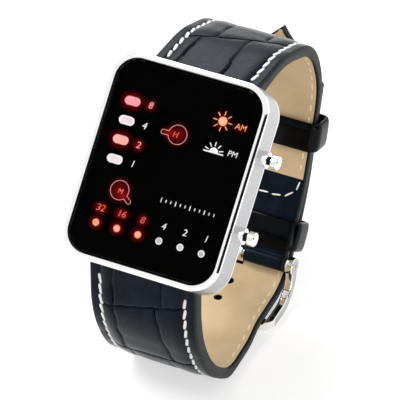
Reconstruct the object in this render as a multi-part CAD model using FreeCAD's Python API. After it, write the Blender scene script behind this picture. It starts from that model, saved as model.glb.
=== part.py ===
import FreeCAD, Part
import math
import os

# A binary wristwatch, buckled and standing on its strap.
# Millimetres. X is the side of the pushers, Y goes back from the dial, Z is up, Z = 0 is the table.
# Y = 0 is the middle of the strap's flat base.
# Head pieces are drawn in the case frame: x across, y up the dial, z out of the dial, 0 at the bezel.
# The strap is drawn side on, in Y and Z, as runs joined by tangent arcs.

os.makedirs("parts", exist_ok=True)
V = FreeCAD.Vector

# stance
case_lean = 43.9
face_height = 58.0
face_forward = 12.8

# case
case_width = 35.0
case_length = 43.6
case_depth = 9.0
case_corner = 6.0
case_edge = 0.45
bezel_width = 1.1
side_wall = 1.6
end_wall = 0.9
fit_gap = 0.05
lens_thickness = 1.4
lens_recess = 0.15
lens_ledge = 1.2
ledge_thickness = 0.25
mask_gap = 0.15
mask_thickness = 0.2

# back of the case
back_thickness = 0.9
back_inset = 0.4
gasket_width = 0.5
gasket_thickness = 0.3
screw_radius = 0.55
screw_head_radius = 1.05
screw_head_height = 0.4
screw_length = 3.2
screw_slot_width = 0.35
screw_slot_depth = 0.2
screw_wall = 1.0
screw_end_wall = 0.35
screw_tip_gap = 0.5

# strap ends in the case
horn_width = 5.3
notch_side_gap = 0.2
notch_depth = 4.6
notch_roof = 3.2
bar_inset = 2.2
bar_depth = 5.6

# spring bars
bar_radius = 0.9
bar_bore = 0.6
bar_lip_bore = 0.45
bar_lip = 0.3
bar_end_gap = 0.6
bar_spring_wire = 0.09
bar_spring_radius = 0.4
bar_spring_turns = 12
pin_radius = 0.38
pin_shoulder_radius = 0.54
pin_shoulder_length = 2.4
pin_grip = 1.0
pin_end_gap = 0.2
pin_hole_gap = 0.07
slide_gap = 0.02

# display: insets from the sides, drops from the top and rises from the bottom of the opening over the dial
window_gap = 0.03
well_gap = 0.1
hour_count = 4
hour_window_length = 3.4
hour_window_width = 1.9
hour_window_inset = 3.55
hour_window_drop = 7.65
hour_window_pitch = 4.1
minute_count = 6
minute_window_radius = 0.72
minute_left_inset = 3.7
minute_right_inset = 3.1
minute_window_rise = 5.65
sun_window_radius = 0.95
sun_window_inset = 7.0
sun_window_drop = 6.55
sunset_below_sun = 6.5
icon_light_radius = 1.6
hour_icon_x = -0.2
hour_icon_drop = 11.7
minute_icon_inset = 6.6
minute_icon_rise = 13.25

# module behind the dial
module_side_gap = 1.9
module_end_gap = 0.6
module_corner = 1.0
board_thickness = 0.8
led_length = 1.6
led_width = 0.8
dot_led_length = 1.0
dot_led_width = 0.5
led_height = 0.6
led_dome_height = 0.2
led_dome_inset = 0.15
chip_size = 6.0
chip_height = 0.9
chip_corner = 0.2
chip_side_inset = 3.6
chip_end_inset = 3.4
crystal_radius = 0.7
crystal_length = 5.0
crystal_inset = 1.6
passive_length = 1.0
passive_width = 0.5
passive_height = 0.5
passive_pitch = 1.6
passive_inset = 1.2
passives_right = 4
passives_left = 3
pocket_gap = 0.3
holder_web = 0.2
battery_radius = 10.0
battery_thickness = 1.6
battery_gap = 0.15
battery_edge = 0.3
clip_thickness = 0.2
clip_inset = 1.0
clip_half_width = 2.0
clip_pad_radius = 2.6

# side pushers
pusher_offset = 8.0
pusher_depth = 4.4
pusher_travel = 0.8
collar_radius = 1.75
collar_length = 1.6
collar_edge = 0.2
sleeve_radius = 1.3
sleeve_wall = 0.35
sleeve_floor = 0.35
cap_radius = 1.5
cap_length = 1.5
cap_round = 0.4
guide_length = 1.0
guide_gap = 0.08
stem_radius = 0.45
stem_gap = 0.05
stem_reach = 0.85
clip_groove_depth = 0.12
clip_wall_gap = 0.1
clip_ring_radius = 0.95
clip_ring_thickness = 0.25
clip_ring_mouth = 0.5
pusher_spring_wire = 0.14
pusher_spring_radius = 0.74
pusher_spring_turns = 4
leaf_thickness = 0.15
leaf_width = 1.6
leaf_height = 2.0

# strap thicknesses, measured from the lining outwards
lining_thickness = 0.8
flat_thickness = 2.4
padded_thickness = 4.0
shoulder_thickness = 2.5
crest_thickness = 3.1
heel_thickness = 3.0
toe_thickness = 2.7
base_thickness = 2.7
cover_thickness = 1.4
thinnest_padding = 0.1
layer_gap = 0.15
padding_margin = 2.6

# long strap, from the lower lug round to the tail
front_bend_height = 25.0
front_bend_radius = 30.0
heel_step = 6.4
heel_height = 10.2
heel_radius = 30.0
toe_step = 12.0
toe_radius = 6.5
base_length = 11.2
lift_radius = 9.0
lift_run = 4.6
under_buckle_radius = 7.0
tail_side_gap = 0.1
tail_reach = 37.0
tail_tip_length = 10.8
hole_radius = 0.95
hole_pitch = 6.0
holes_before = 2
holes_after = 4

# short strap, from the upper lug down to the buckle
strap_taper = 1.0
shoulder_run = 14.7
shoulder_radius = 28.0
crest_step = 14.6
crest_drop = 6.7
crest_radius = 15.5
back_step = 5.3
back_drop = 13.0
back_radius = 17.0
knee_step = 7.6
knee_rise = 12.6
knee_radius = 40.0
flap_length = 17.5

# buckle
end_bar_height = 1.8
end_bar_length = 2.6
end_bar_gap = 0.15
end_bar_back = 2.9
frame_reach = 11.7
frame_side_gap = 0.35
frame_arm_width = 1.9
frame_arm_thickness = 2.2
frame_hub_radius = 1.9
frame_bend_forward = 0.4
frame_bend_radius = 6.5
frame_corner = 3.4
frame_edge = 0.4
buckle_bar_height = 9.1
buckle_bar_radius = 0.8
buckle_bar_end_gap = 0.1
buckle_pin_skin = 0.3
buckle_wrap_radius = 1.9
buckle_wrap_gap = 0.4
tongue_width = 1.7
tongue_thickness = 0.9
tongue_hub_wall = 0.7
tongue_seat_depth = 1.15
tongue_seat_gap = 0.15
tongue_table_gap = 0.03
tongue_tip_gap = 0.2
tongue_drop_back = 0.2
tongue_run_height = 0.85
tongue_bend_radius = 2.2
tongue_mouth_gap = 0.7
tongue_slot = 3.0
tongue_slot_gap = 0.25
tongue_slot_back = 0.55

# keepers
keeper_width = 6.6
keeper_wall = 1.1
keeper_gap = 0.3
keeper_side_gap = 0.45
keeper_corner = 1.6
keeper_groove_width = 0.5
keeper_groove_depth = 0.35
free_keeper_below_bend = 5.3
fixed_keeper_below_knee = 8.4
fixed_keeper_gap = 0.05
fixed_keeper_side_gap = 0.44

# cutting tools run this far past the faces they open, and the far one past the whole watch
past = 1.0
far = 200.0
tiny = 1e-6


# ---------- helpers ----------

def save(name, *solids):
    """Write the solids of one sub-part."""
    shape = solids[0] if len(solids) == 1 else Part.makeCompound(list(solids))
    shape.exportStep("parts/" + name + ".step")
    print(name, "solids", len(shape.Solids), "volume", round(shape.Volume, 2), "valid", shape.isValid())


def on_case(shape):
    """Move a shape from the case frame to its leaning place on the strap."""
    placed = shape.copy()
    placed.rotate(V(0, 0, 0), V(1, 0, 0), 90 - case_lean)
    placed.translate(V(0, -face_forward, face_height))
    return placed


def case_point(up_dial, out_of_dial):
    """Y and Z of a point of the case's middle plane."""
    lean = math.radians(case_lean)
    y = up_dial * math.sin(lean) - out_of_dial * math.cos(lean) - face_forward
    z = up_dial * math.cos(lean) + out_of_dial * math.sin(lean) + face_height
    return (y, z)


def plate(half_x, half_y, corner, top, bottom, x=0.0, y=0.0):
    """A flat plate with rounded corners, in the case frame."""
    solid = Part.makeBox(2 * half_x, 2 * half_y, top - bottom, V(x - half_x, y - half_y, bottom))
    if corner <= 0:
        return solid
    upright = [e for e in solid.Edges if e.BoundBox.ZLength > (top - bottom) / 2]
    return solid.makeFillet(corner, upright)


def disc(radius, top, bottom, x, y):
    return Part.makeCylinder(radius, top - bottom, V(x, y, bottom))


def along_x(radius, start, end, y, z):
    return Part.makeCylinder(radius, end - start, V(start, y, z), V(1, 0, 0))


def across(radius, half_length, place):
    """A round bar through the middle plane, at a place given as Y and Z."""
    return along_x(radius, -half_length, half_length, *place)


def stadium(length, width, top, bottom, x, y):
    """A full-round slot shape lying across the dial."""
    run = (length - width) / 2
    middle = Part.makeBox(2 * run, width, top - bottom, V(x - run, y - width / 2, bottom))
    ends = [disc(width / 2, top, bottom, x - run, y), disc(width / 2, top, bottom, x + run, y)]
    return middle.fuse(ends).removeSplitter()


def edges_at_height(solid, z):
    """Edges that lie wholly at one height."""
    return [e for e in solid.Edges if abs(e.BoundBox.ZMax - z) < tiny and abs(e.BoundBox.ZMin - z) < tiny]


def edges_at_x(solid, x):
    """Edges that lie wholly at one place across."""
    return [e for e in solid.Edges if abs(e.BoundBox.XMax - x) < tiny and abs(e.BoundBox.XMin - x) < tiny]


def side_rounded(solid, start_x, end_x, radius):
    """Round all edges of the two flat sides."""
    return solid.makeFillet(radius, edges_at_x(solid, start_x) + edges_at_x(solid, end_x))


def unit(a, b):
    length = math.dist(a, b)
    return ((b[0] - a[0]) / length, (b[1] - a[1]) / length)


def outward(direction):
    """The side of a strap run that faces away from the wrist."""
    return (direction[1], -direction[0])


def shifted(point, direction, distance):
    return (point[0] + direction[0] * distance, point[1] + direction[1] * distance)


def turn_between(before, after):
    """Signed angle from one direction to the next."""
    across_run = before[0] * after[1] - before[1] * after[0]
    along_run = before[0] * after[0] + before[1] * after[1]
    return math.atan2(across_run, along_run)


def offset_corners(points, offsets):
    """Corners of a strap surface that lies outside the given one by each corner's offset."""
    moved = []
    for i, point in enumerate(points):
        before = unit(points[i - 1], point) if i > 0 else unit(point, points[i + 1])
        after = unit(point, points[i + 1]) if i < len(points) - 1 else before
        side_a = outward(before)
        side_b = outward(after)
        bisector = unit((0, 0), (side_a[0] + side_b[0], side_a[1] + side_b[1]))
        moved.append(shifted(point, bisector, offsets[i] / math.cos(turn_between(before, after) / 2)))
    return moved


def rounded_run(points, radii, offsets):
    """Edges of runs joined by tangent arcs, outside the base line by the offsets; radii are that line's."""
    corners = offset_corners(points, offsets)
    edges = []
    start = corners[0]
    for i in range(1, len(corners) - 1):
        before = unit(corners[i - 1], corners[i])
        after = unit(corners[i], corners[i + 1])
        turn = turn_between(before, after)
        radius = radii[i - 1] + math.copysign(1, turn) * offsets[i]
        reach = radius * math.tan(abs(turn) / 2)
        first = shifted(corners[i], before, -reach)
        last = shifted(corners[i], after, reach)
        centre = shifted(first, outward(before), -math.copysign(radius, turn))
        middle = shifted(centre, unit(centre, corners[i]), radius)
        edges.append(Part.LineSegment(V(0, *start), V(0, *first)).toShape())
        edges.append(Part.Arc(V(0, *first), V(0, *middle), V(0, *last)).toShape())
        start = last
    edges.append(Part.LineSegment(V(0, *start), V(0, *corners[-1])).toShape())
    return edges


def band(points, radii, inner, outer, start_x, end_x):
    """A layer between two offsets of a line, drawn side on and given its width."""
    low = rounded_run(points, radii, inner)
    high = rounded_run(points, radii, outer)
    first_cap = Part.LineSegment(low[0].Vertexes[0].Point, high[0].Vertexes[0].Point).toShape()
    last_cap = Part.LineSegment(low[-1].Vertexes[-1].Point, high[-1].Vertexes[-1].Point).toShape()
    face = Part.Face(Part.Wire(Part.__sortEdges__(low + [last_cap] + high + [first_cap])))
    face.translate(V(start_x, 0, 0))
    return face.extrude(V(end_x - start_x, 0, 0))


def tangent_corner(outside, centre, radius):
    """Where the line from a point touches a circle about the centre, on the circle's outward side."""
    direction = unit(centre, outside)
    spread = math.acos(radius / math.dist(outside, centre))
    heading = math.atan2(direction[1], direction[0]) - spread
    return (centre[0] + radius * math.cos(heading), centre[1] + radius * math.sin(heading))


def cut_from(points, direction):
    """A solid drawn through the given points and pushed along a direction."""
    return Part.Face(Part.makePolygon(points + [points[0]])).extrude(direction)


def main_solid(shape):
    """The largest solid of a cut shape, without slivers."""
    return max(shape.Solids, key=lambda s: s.Volume)


def coil(wire_radius, coil_radius, turns, start_x, end_x, y, z):
    """A compression spring along X."""
    length = end_x - start_x - 2 * wire_radius
    path = Part.makeHelix(length / turns, length, coil_radius)
    section = Part.Wire(Part.makeCircle(wire_radius, V(coil_radius, 0, 0), V(0, 1, 0)))
    spring = Part.Wire(path).makePipeShell([section], True, True)
    spring.rotate(V(0, 0, 0), V(0, 1, 0), 90)
    spring.translate(V(start_x + wire_radius, y, z))
    return spring


# ---------- places worked out from the driving dimensions ----------

half_width = case_width / 2
half_length = case_length / 2
body_bottom = back_thickness - case_depth
notch_x = half_width - horn_width
strap_half = notch_x - notch_side_gap
buckle_half_width = strap_half - strap_taper
tail_half_width = buckle_half_width - tail_side_gap
notch_end = half_length - notch_depth
cavity_x = half_width - side_wall
cavity_y = notch_end - end_wall
module_half_width = cavity_x - module_side_gap
module_half_length = cavity_y - module_end_gap
screw_x = notch_x + screw_wall + screw_head_radius
screw_y = notch_end + screw_end_wall + screw_head_radius
lens_x = half_width - bezel_width
lens_y = half_length - bezel_width
lens_corner = case_corner - bezel_width
window_x = lens_x - lens_ledge
window_y = lens_y - lens_ledge
window_corner = lens_corner - lens_ledge
lens_top = -lens_recess
lens_bottom = lens_top - lens_thickness
mask_top = lens_bottom - mask_gap
mask_bottom = mask_top - mask_thickness
ledge_bottom = mask_bottom - ledge_thickness

# the module is stacked up from the back cover; the light baffle fills what is left under the mask
holder_bottom = body_bottom + clip_thickness + fit_gap
battery_bottom = holder_bottom + fit_gap
battery_top = battery_bottom + battery_thickness
holder_top = battery_top + fit_gap + holder_web + chip_height
board_bottom = holder_top + fit_gap
board_top = board_bottom + board_thickness
baffle_bottom = board_top + fit_gap
baffle_top = mask_bottom - fit_gap
chip_x = module_half_width - chip_side_inset
chip_y = module_half_length - chip_end_inset
crystal_x = crystal_inset - module_half_width

hour_window_x = hour_window_inset - window_x
hour_windows_y = [window_y - hour_window_drop - i * hour_window_pitch for i in range(hour_count)]
minute_window_pitch = (2 * window_x - minute_left_inset - minute_right_inset) / (minute_count - 1)
minute_windows_x = [minute_left_inset - window_x + i * minute_window_pitch for i in range(minute_count)]
minute_window_y = minute_window_rise - window_y
sun_window_x = window_x - sun_window_inset
sun_window_y = window_y - sun_window_drop
sunset_window_y = sun_window_y - sunset_below_sun
hour_icon_y = window_y - hour_icon_drop
minute_icon_x = minute_icon_inset - window_x
minute_icon_y = minute_icon_rise - window_y


# ---------- case ----------

def make_case():
    body = plate(half_width, half_length, case_corner, 0, body_bottom)
    body = body.makeFillet(case_edge, edges_at_height(body, 0))
    body = body.cut(plate(lens_x, lens_y, lens_corner, past, mask_bottom))
    body = body.cut(plate(window_x, window_y, window_corner, past, ledge_bottom))
    body = body.cut(plate(cavity_x, cavity_y, module_corner, ledge_bottom, body_bottom - past))
    gasket_top = body_bottom + gasket_thickness
    body = body.cut(plate(cavity_x + gasket_width, cavity_y + gasket_width, module_corner + gasket_width,
                          gasket_top, body_bottom - past))
    for end in (1, -1):
        body = body.cut(plate(notch_x, notch_depth, 0, -notch_roof, -case_depth - past,
                              0, end * (notch_end + notch_depth)))
        for side in (1, -1):
            start, stop = sorted((side * (notch_x - past), side * (notch_x + pin_grip + pin_end_gap)))
            body = body.cut(along_x(pin_radius + pin_hole_gap, start, stop,
                                    end * (half_length - bar_inset), -bar_depth))
            body = body.cut(disc(screw_radius, screw_length - case_depth + screw_tip_gap, body_bottom - past,
                                 side * screw_x, end * screw_y))
    for y in (pusher_offset, -pusher_offset):
        body = body.cut(along_x(sleeve_radius, cavity_x - past, half_width + past, y, -pusher_depth))
    return body.removeSplitter()


def make_back():
    cover = plate(half_width - back_inset, half_length - back_inset, case_corner - back_inset,
                  body_bottom, -case_depth)
    cover = cover.makeFillet(case_edge, edges_at_height(cover, -case_depth))
    for end in (1, -1):
        cover = cover.cut(plate(notch_x, notch_depth, 0, body_bottom + past, -case_depth - past,
                                0, end * (notch_end + notch_depth)))
        for side in (1, -1):
            place = (side * screw_x, end * screw_y)
            cover = cover.cut(disc(screw_radius + fit_gap, body_bottom + past, -case_depth - past, *place))
            cover = cover.cut(disc(screw_head_radius + fit_gap, screw_head_height - case_depth,
                                   -case_depth - past, *place))
    return cover


def make_screws():
    screws = []
    for end in (1, -1):
        for side in (1, -1):
            place = (side * screw_x, end * screw_y)
            head = disc(screw_head_radius, screw_head_height - case_depth, -case_depth, *place)
            shank = disc(screw_radius, screw_length - case_depth, -case_depth, *place)
            slot = plate(screw_head_radius + past, screw_slot_width / 2, 0,
                         screw_slot_depth - case_depth, -case_depth - past, *place)
            screws.append(head.fuse(shank).removeSplitter().cut(slot))
    return screws


def make_ring(outer_x, outer_y, corner, width, top, bottom):
    ring = plate(outer_x, outer_y, corner, top, bottom)
    return ring.cut(plate(outer_x - width, outer_y - width, corner - width, top + past, bottom - past))


def make_lens_gasket():
    return make_ring(lens_x - fit_gap, lens_y - fit_gap, lens_corner - fit_gap,
                     lens_ledge / 2 - 2 * fit_gap, lens_bottom, mask_bottom)


def make_back_gasket():
    corner = module_corner + gasket_width - fit_gap
    return make_ring(cavity_x + gasket_width - fit_gap, cavity_y + gasket_width - fit_gap, corner,
                     gasket_width - 2 * fit_gap, body_bottom + gasket_thickness, body_bottom)


# ---------- display ----------

def hour_slots(grow, top, bottom):
    length = hour_window_length + 2 * grow
    width = hour_window_width + 2 * grow
    return [stadium(length, width, top, bottom, hour_window_x, y) for y in hour_windows_y]


def minute_slots(grow, top, bottom):
    return [disc(minute_window_radius + grow, top, bottom, x, minute_window_y) for x in minute_windows_x]


def meridiem_slots(grow, top, bottom):
    """A whole sun for the morning, and one half under the horizon."""
    radius = sun_window_radius + grow
    sun = disc(radius, top, bottom, sun_window_x, sun_window_y)
    low_sun = disc(radius, top, bottom, sun_window_x, sunset_window_y)
    horizon = sunset_window_y - grow
    below = plate(2 * radius, radius, 0, top + past, bottom - past, sun_window_x, horizon - radius)
    return [sun, low_sun.cut(below)]


def make_mask():
    seat = (lens_ledge + fit_gap) / 2
    mask = plate(window_x + seat, window_y + seat, window_corner + seat, mask_top, mask_bottom)
    span = (window_gap, mask_top + past, mask_bottom - past)
    return mask.cut(hour_slots(*span) + minute_slots(*span) + meridiem_slots(*span))


def icon_places():
    return [(sun_window_x, sun_window_y), (sun_window_x, sunset_window_y),
            (hour_icon_x, hour_icon_y), (minute_icon_x, minute_icon_y)]


def make_baffle():
    baffle = plate(module_half_width, module_half_length, module_corner, baffle_top, baffle_bottom)
    top = baffle_top + past
    bottom = baffle_bottom - past
    wells = hour_slots(well_gap, top, bottom) + minute_slots(well_gap, top, bottom)
    wells += [disc(icon_light_radius, top, bottom, x, y) for x, y in icon_places()]
    return baffle.cut(wells)


def make_led(x, y, length, width):
    body_top = board_top + led_height
    base = plate(length / 2, width / 2, 0, body_top, board_top, x, y)
    dome = plate(length / 2 - led_dome_inset, width / 2 - led_dome_inset, 0,
                 body_top + led_dome_height, body_top, x, y)
    return base.fuse(dome)


# ---------- module ----------

def passive_places():
    """Two rows in from the board's sides, the left one starting a step further in."""
    outermost = module_half_width - passive_inset
    right = [(outermost - i * passive_pitch, -chip_y) for i in range(passives_right)]
    left = [((i + 1) * passive_pitch - outermost, -chip_y) for i in range(passives_left)]
    return right + left


def make_holder():
    """The frame under the board, with pockets for what hangs below it and for the cell."""
    holder = plate(module_half_width, module_half_length, module_corner, holder_top, holder_bottom)
    top = holder_top + past
    chip_half = chip_size / 2 + pocket_gap
    crystal_half = crystal_radius + pocket_gap
    cuts = [disc(battery_radius + battery_gap, battery_top + fit_gap, holder_bottom - past, 0, 0),
            plate(chip_half, chip_half, pocket_gap, top, holder_top - chip_height, chip_x, chip_y),
            plate(crystal_half, crystal_length / 2 + pocket_gap, pocket_gap, top,
                  holder_top - 2 * crystal_radius - fit_gap, crystal_x, chip_y)]
    for x, y in passive_places():
        cuts.append(plate(passive_length / 2 + pocket_gap, passive_length / 2 + pocket_gap, 0, top,
                          holder_top - passive_height, x, y))
    return holder.cut(cuts)


def make_clip():
    """A spring plate across the cell."""
    bridge = plate(module_half_width - clip_inset, clip_half_width, pocket_gap,
                   holder_bottom, holder_bottom - clip_thickness)
    pad = disc(clip_pad_radius, battery_bottom, holder_bottom - clip_thickness, 0, 0)
    return bridge.fuse(pad).removeSplitter()


def make_battery():
    battery = disc(battery_radius, battery_top, battery_bottom, 0, 0)
    rims = edges_at_height(battery, battery_top) + edges_at_height(battery, battery_bottom)
    return battery.makeFillet(battery_edge, rims)


def make_module():
    board = plate(module_half_width, module_half_length, module_corner, board_top, board_bottom)
    chip_bottom = board_bottom - chip_height
    chip = plate(chip_size / 2, chip_size / 2, chip_corner, board_bottom, chip_bottom, chip_x, chip_y)
    crystal_start = V(crystal_x, chip_y - crystal_length / 2, board_bottom - crystal_radius)
    crystal = Part.makeCylinder(crystal_radius, crystal_length, crystal_start, V(0, 1, 0))
    passive_bottom = board_bottom - passive_height
    passives = [plate(passive_width / 2, passive_length / 2, 0, board_bottom, passive_bottom, x, y)
                for x, y in passive_places()]
    save("light_baffle", on_case(make_baffle()))
    save("circuit_board", on_case(board))
    save("hour_leds", *[on_case(make_led(hour_window_x, y, led_length, led_width)) for y in hour_windows_y])
    save("minute_leds", *[on_case(make_led(x, minute_window_y, dot_led_length, dot_led_width))
                          for x in minute_windows_x])
    save("icon_leds", *[on_case(make_led(x, y, led_length, led_width)) for x, y in icon_places()])
    save("driver_chip", on_case(chip))
    save("quartz_crystal", on_case(crystal))
    save("board_passives", *[on_case(p) for p in passives])
    save("module_holder", on_case(make_holder()))
    save("battery", on_case(make_battery()))
    save("battery_clip", on_case(make_clip()))


# ---------- pushers ----------

collar_end = half_width + collar_length
cap_start = collar_end + pusher_travel + fit_gap
cap_end = cap_start + cap_length
sleeve_bore = sleeve_radius - sleeve_wall
stem_end = cavity_x - stem_reach
leaf_face = stem_end - pusher_travel - fit_gap
groove_end = cavity_x - clip_wall_gap
groove_start = groove_end - clip_ring_thickness


def make_sleeve(y):
    """The collar outside the case and the tube it goes in with."""
    z = -pusher_depth
    tube = along_x(sleeve_radius, cavity_x, collar_end, y, z)
    sleeve = tube.fuse(along_x(collar_radius, half_width, collar_end, y, z)).removeSplitter()
    sleeve = sleeve.makeFillet(collar_edge, edges_at_x(sleeve, collar_end))
    sleeve = sleeve.cut(along_x(stem_radius + stem_gap, cavity_x - past, collar_end + past, y, z))
    return sleeve.cut(along_x(sleeve_bore, cavity_x + sleeve_floor, collar_end + past, y, z))


def clip_groove(y, outside):
    """The ring between the bottom of the stem's groove and an outer radius."""
    floor_radius = stem_radius - clip_groove_depth
    ring = along_x(outside, groove_start, groove_end, y, -pusher_depth)
    return ring.cut(along_x(floor_radius, groove_start - past, groove_end + past, y, -pusher_depth))


def make_pusher(y):
    """The cap, its guide in the sleeve and the stem that reaches into the case."""
    z = -pusher_depth
    cap = along_x(cap_radius, cap_start, cap_end, y, z)
    cap = cap.makeFillet(cap_round, edges_at_x(cap, cap_end))
    guide = along_x(sleeve_bore - guide_gap, cap_start - guide_length, cap_start, y, z)
    stem = along_x(stem_radius, stem_end, cap_start, y, z)
    return cap.fuse([guide, stem]).removeSplitter().cut(clip_groove(y, collar_radius))


def make_pusher_clip(y):
    mouth = Part.makeBox(clip_ring_thickness + 2 * past, clip_ring_mouth, collar_radius,
                         V(groove_start - past, y - clip_ring_mouth / 2, -pusher_depth))
    return clip_groove(y, clip_ring_radius).cut(mouth)


def make_leaf(y):
    """The contact that the stem presses, on the edge of the module."""
    low = -pusher_depth - leaf_height / 2
    side = y - leaf_width / 2
    leaf = Part.makeBox(leaf_thickness, leaf_width, leaf_height, V(leaf_face - leaf_thickness, side, low))
    foot = Part.makeBox(leaf_face - module_half_width, leaf_width, leaf_thickness,
                        V(module_half_width, side, low))
    return leaf.fuse(foot).removeSplitter()


def make_pushers():
    places = (("upper", pusher_offset), ("lower", -pusher_offset))
    spring_start = cavity_x + sleeve_floor + slide_gap
    spring_end = cap_start - guide_length - slide_gap
    for name, y in places:
        spring = coil(pusher_spring_wire, pusher_spring_radius, pusher_spring_turns,
                      spring_start, spring_end, y, -pusher_depth)
        save(name + "_pusher", on_case(make_pusher(y)))
        save(name + "_pusher_clip", on_case(make_pusher_clip(y)))
        save(name + "_pusher_spring", on_case(spring))
    save("pusher_sleeves", *[on_case(make_sleeve(y)) for name, y in places])
    save("contact_leaves", *[on_case(make_leaf(y)) for name, y in places])


# ---------- strap lines ----------

lug_low = case_point(-(half_length - bar_inset), -bar_depth)
lug_high = case_point(half_length - bar_inset, -bar_depth)
lug_wrap = padded_thickness / 2
front_y = lug_low[0] - lug_wrap
heel = (front_y + heel_step, heel_height)
toe = (heel[0] + toe_step, 0)
base_end = (toe[0] + base_length, 0)
lift = end_bar_height + end_bar_gap
lifted = (base_end[0] + lift_run, lift)
end_bar_y = lifted[0] + end_bar_back
buckle_bar = (end_bar_y + frame_reach, buckle_bar_height)
knee = (buckle_bar[0] + knee_step, buckle_bar_height + knee_rise)
shoulder_start = (lug_high[0], lug_high[1] - lug_wrap)
shoulder = (shoulder_start[0] + shoulder_run, shoulder_start[1])
crest = (shoulder[0] + crest_step, shoulder[1] - crest_drop)
rear = (crest[0] + back_step, crest[1] - back_drop)
back_run = unit(knee, rear)

# the short strap's lining, from the buckle up and over to the upper lug
short_start = tangent_corner(knee, buckle_bar, -flat_thickness / 2)
short_run = unit(short_start, knee)
short_line = [short_start, knee, rear, crest, shoulder, shoulder_start]
short_radii = [knee_radius, back_radius, crest_radius, shoulder_radius]
short_thick = [flat_thickness, flat_thickness, flat_thickness, crest_thickness, shoulder_thickness,
               padded_thickness]

# the long strap's outer face, from the lower lug round to the tail's tip
tail_outside = flat_thickness + layer_gap + flat_thickness
knee_out = offset_corners(short_line, [tail_outside] * len(short_line))[1]
tail_touch = tangent_corner(knee_out, buckle_bar, buckle_wrap_radius + buckle_wrap_gap + flat_thickness)
tail_run = unit(tail_touch, knee_out)
under_buckle = (tail_touch[0] - (tail_touch[1] - lift) * tail_run[0] / tail_run[1], lift)
tail_end = shifted(knee_out, back_run, tail_reach)
long_line = [(front_y, lug_low[1]), (front_y, front_bend_height), heel, toe, base_end,
             lifted, under_buckle, knee_out, tail_end]
long_radii = [front_bend_radius, heel_radius, toe_radius, lift_radius, lift_radius,
              under_buckle_radius + flat_thickness, knee_radius + tail_outside]
long_thick = [padded_thickness, padded_thickness, heel_thickness, toe_thickness, base_thickness,
              flat_thickness, flat_thickness, flat_thickness, flat_thickness]
padded_corners = 5
slot_centre = buckle_bar[0] + tongue_drop_back + tongue_slot_back


# ---------- straps ----------

def padding_tops(thicknesses):
    return [max(t - cover_thickness, lining_thickness + thinnest_padding) for t in thicknesses]


def long_band(inner, outer, half, corners=len(long_line)):
    """A layer of the long strap's first corners; offsets are given from its lining outwards."""
    low = [i - t for i, t in zip(inner, long_thick)][:corners]
    high = [o - t for o, t in zip(outer, long_thick)][:corners]
    return band(long_line[:corners], long_radii[:corners - 2], low, high, -half, half)


def long_outline():
    """The long strap's shape seen from above: full width in front, narrowing to the buckle, then the tail."""
    edge = [(-far, strap_half), (heel[0], strap_half),
            (buckle_bar[0], tail_half_width), (far, tail_half_width)]
    points = [V(x, y, -far) for y, x in edge] + [V(-x, y, -far) for y, x in reversed(edge)]
    return cut_from(points, V(0, 0, 2 * far))


def short_outline():
    """The short strap's shape seen from the front: full width at the shoulder, narrowing to the buckle."""
    edge = [(-far, buckle_half_width), (buckle_bar[1], buckle_half_width),
            (crest[1], strap_half), (far, strap_half)]
    points = [V(x, -far, z) for z, x in edge] + [V(-x, -far, z) for z, x in reversed(edge)]
    return cut_from(points, V(0, 2 * far, 0))


def tail_cutters():
    """Two wedges that leave the tail's pointed tip."""
    normal = outward(back_run)
    wide = 2 * tail_half_width
    drop = tail_tip_length * wide / tail_half_width
    wedges = []
    for side in (1, -1):
        corners = [(0, 0), (wide, -drop), (wide, tail_reach), (0, tail_reach)]
        points = [V(side * x, *shifted(shifted(tail_end, back_run, run), normal, tail_outside))
                  for x, run in corners]
        depth = 2 * tail_outside + flat_thickness
        wedges.append(cut_from(points, V(0, -depth * normal[0], -depth * normal[1])))
    return wedges


def tail_place(run):
    """A point of the tail's outer face and its outward side, a run up from the bend under the buckle."""
    straight = math.dist(tail_touch, knee_out)
    if run < straight:
        return shifted(tail_touch, tail_run, run), outward(tail_run)
    return shifted(knee_out, back_run, run - straight), outward(back_run)


def hole_cutters():
    """Adjusting holes: some on the base before the buckle, the others up the back after it."""
    cutters = []
    depth = lift + base_thickness + 2 * past
    for i in range(holes_before):
        y = slot_centre - (i + 1) * hole_pitch
        cutters.append(Part.makeCylinder(hole_radius, depth, V(0, y, -past), V(0, 0, 1)))
    for i in range(holes_after):
        place, normal = tail_place(tongue_slot / 2 + (i + 0.5) * hole_pitch)
        start = shifted(place, normal, past)
        cutters.append(Part.makeCylinder(hole_radius, flat_thickness + past + layer_gap / 2, V(0, *start),
                                         V(0, -normal[0], -normal[1])))
    return cutters


def tongue_slot_cutter():
    half = tongue_width / 2 + tongue_slot_gap
    corner = V(-half, slot_centre - tongue_slot / 2, -past)
    return Part.makeBox(2 * half, tongue_slot, buckle_bar_height, corner)


def make_long_strap():
    zero = [0.0] * len(long_line)
    lining_top = [lining_thickness] * len(long_line)
    wide = strap_half + past
    outline = long_outline()
    trims = tail_cutters() + hole_cutters() + [tongue_slot_cutter()]
    wrap = across(lug_wrap, wide, lug_low)
    lining = long_band(zero, lining_top, wide).common(outline).cut([wrap] + trims)
    padding = long_band(lining_top, padding_tops(long_thick), strap_half - padding_margin, padded_corners)
    padding = padding.cut([wrap, lining])
    cover = long_band(zero, long_thick, wide).cut([lining, padding]).common(outline)
    cover = cover.fuse(across(lug_wrap, strap_half, lug_low)).removeSplitter()
    cover = cover.cut([lining, padding, across(bar_radius + fit_gap, wide, lug_low)] + trims)
    save("long_strap_cover", main_solid(cover))
    save("long_strap_lining", main_solid(lining))
    save("long_strap_padding", main_solid(padding))


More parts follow.
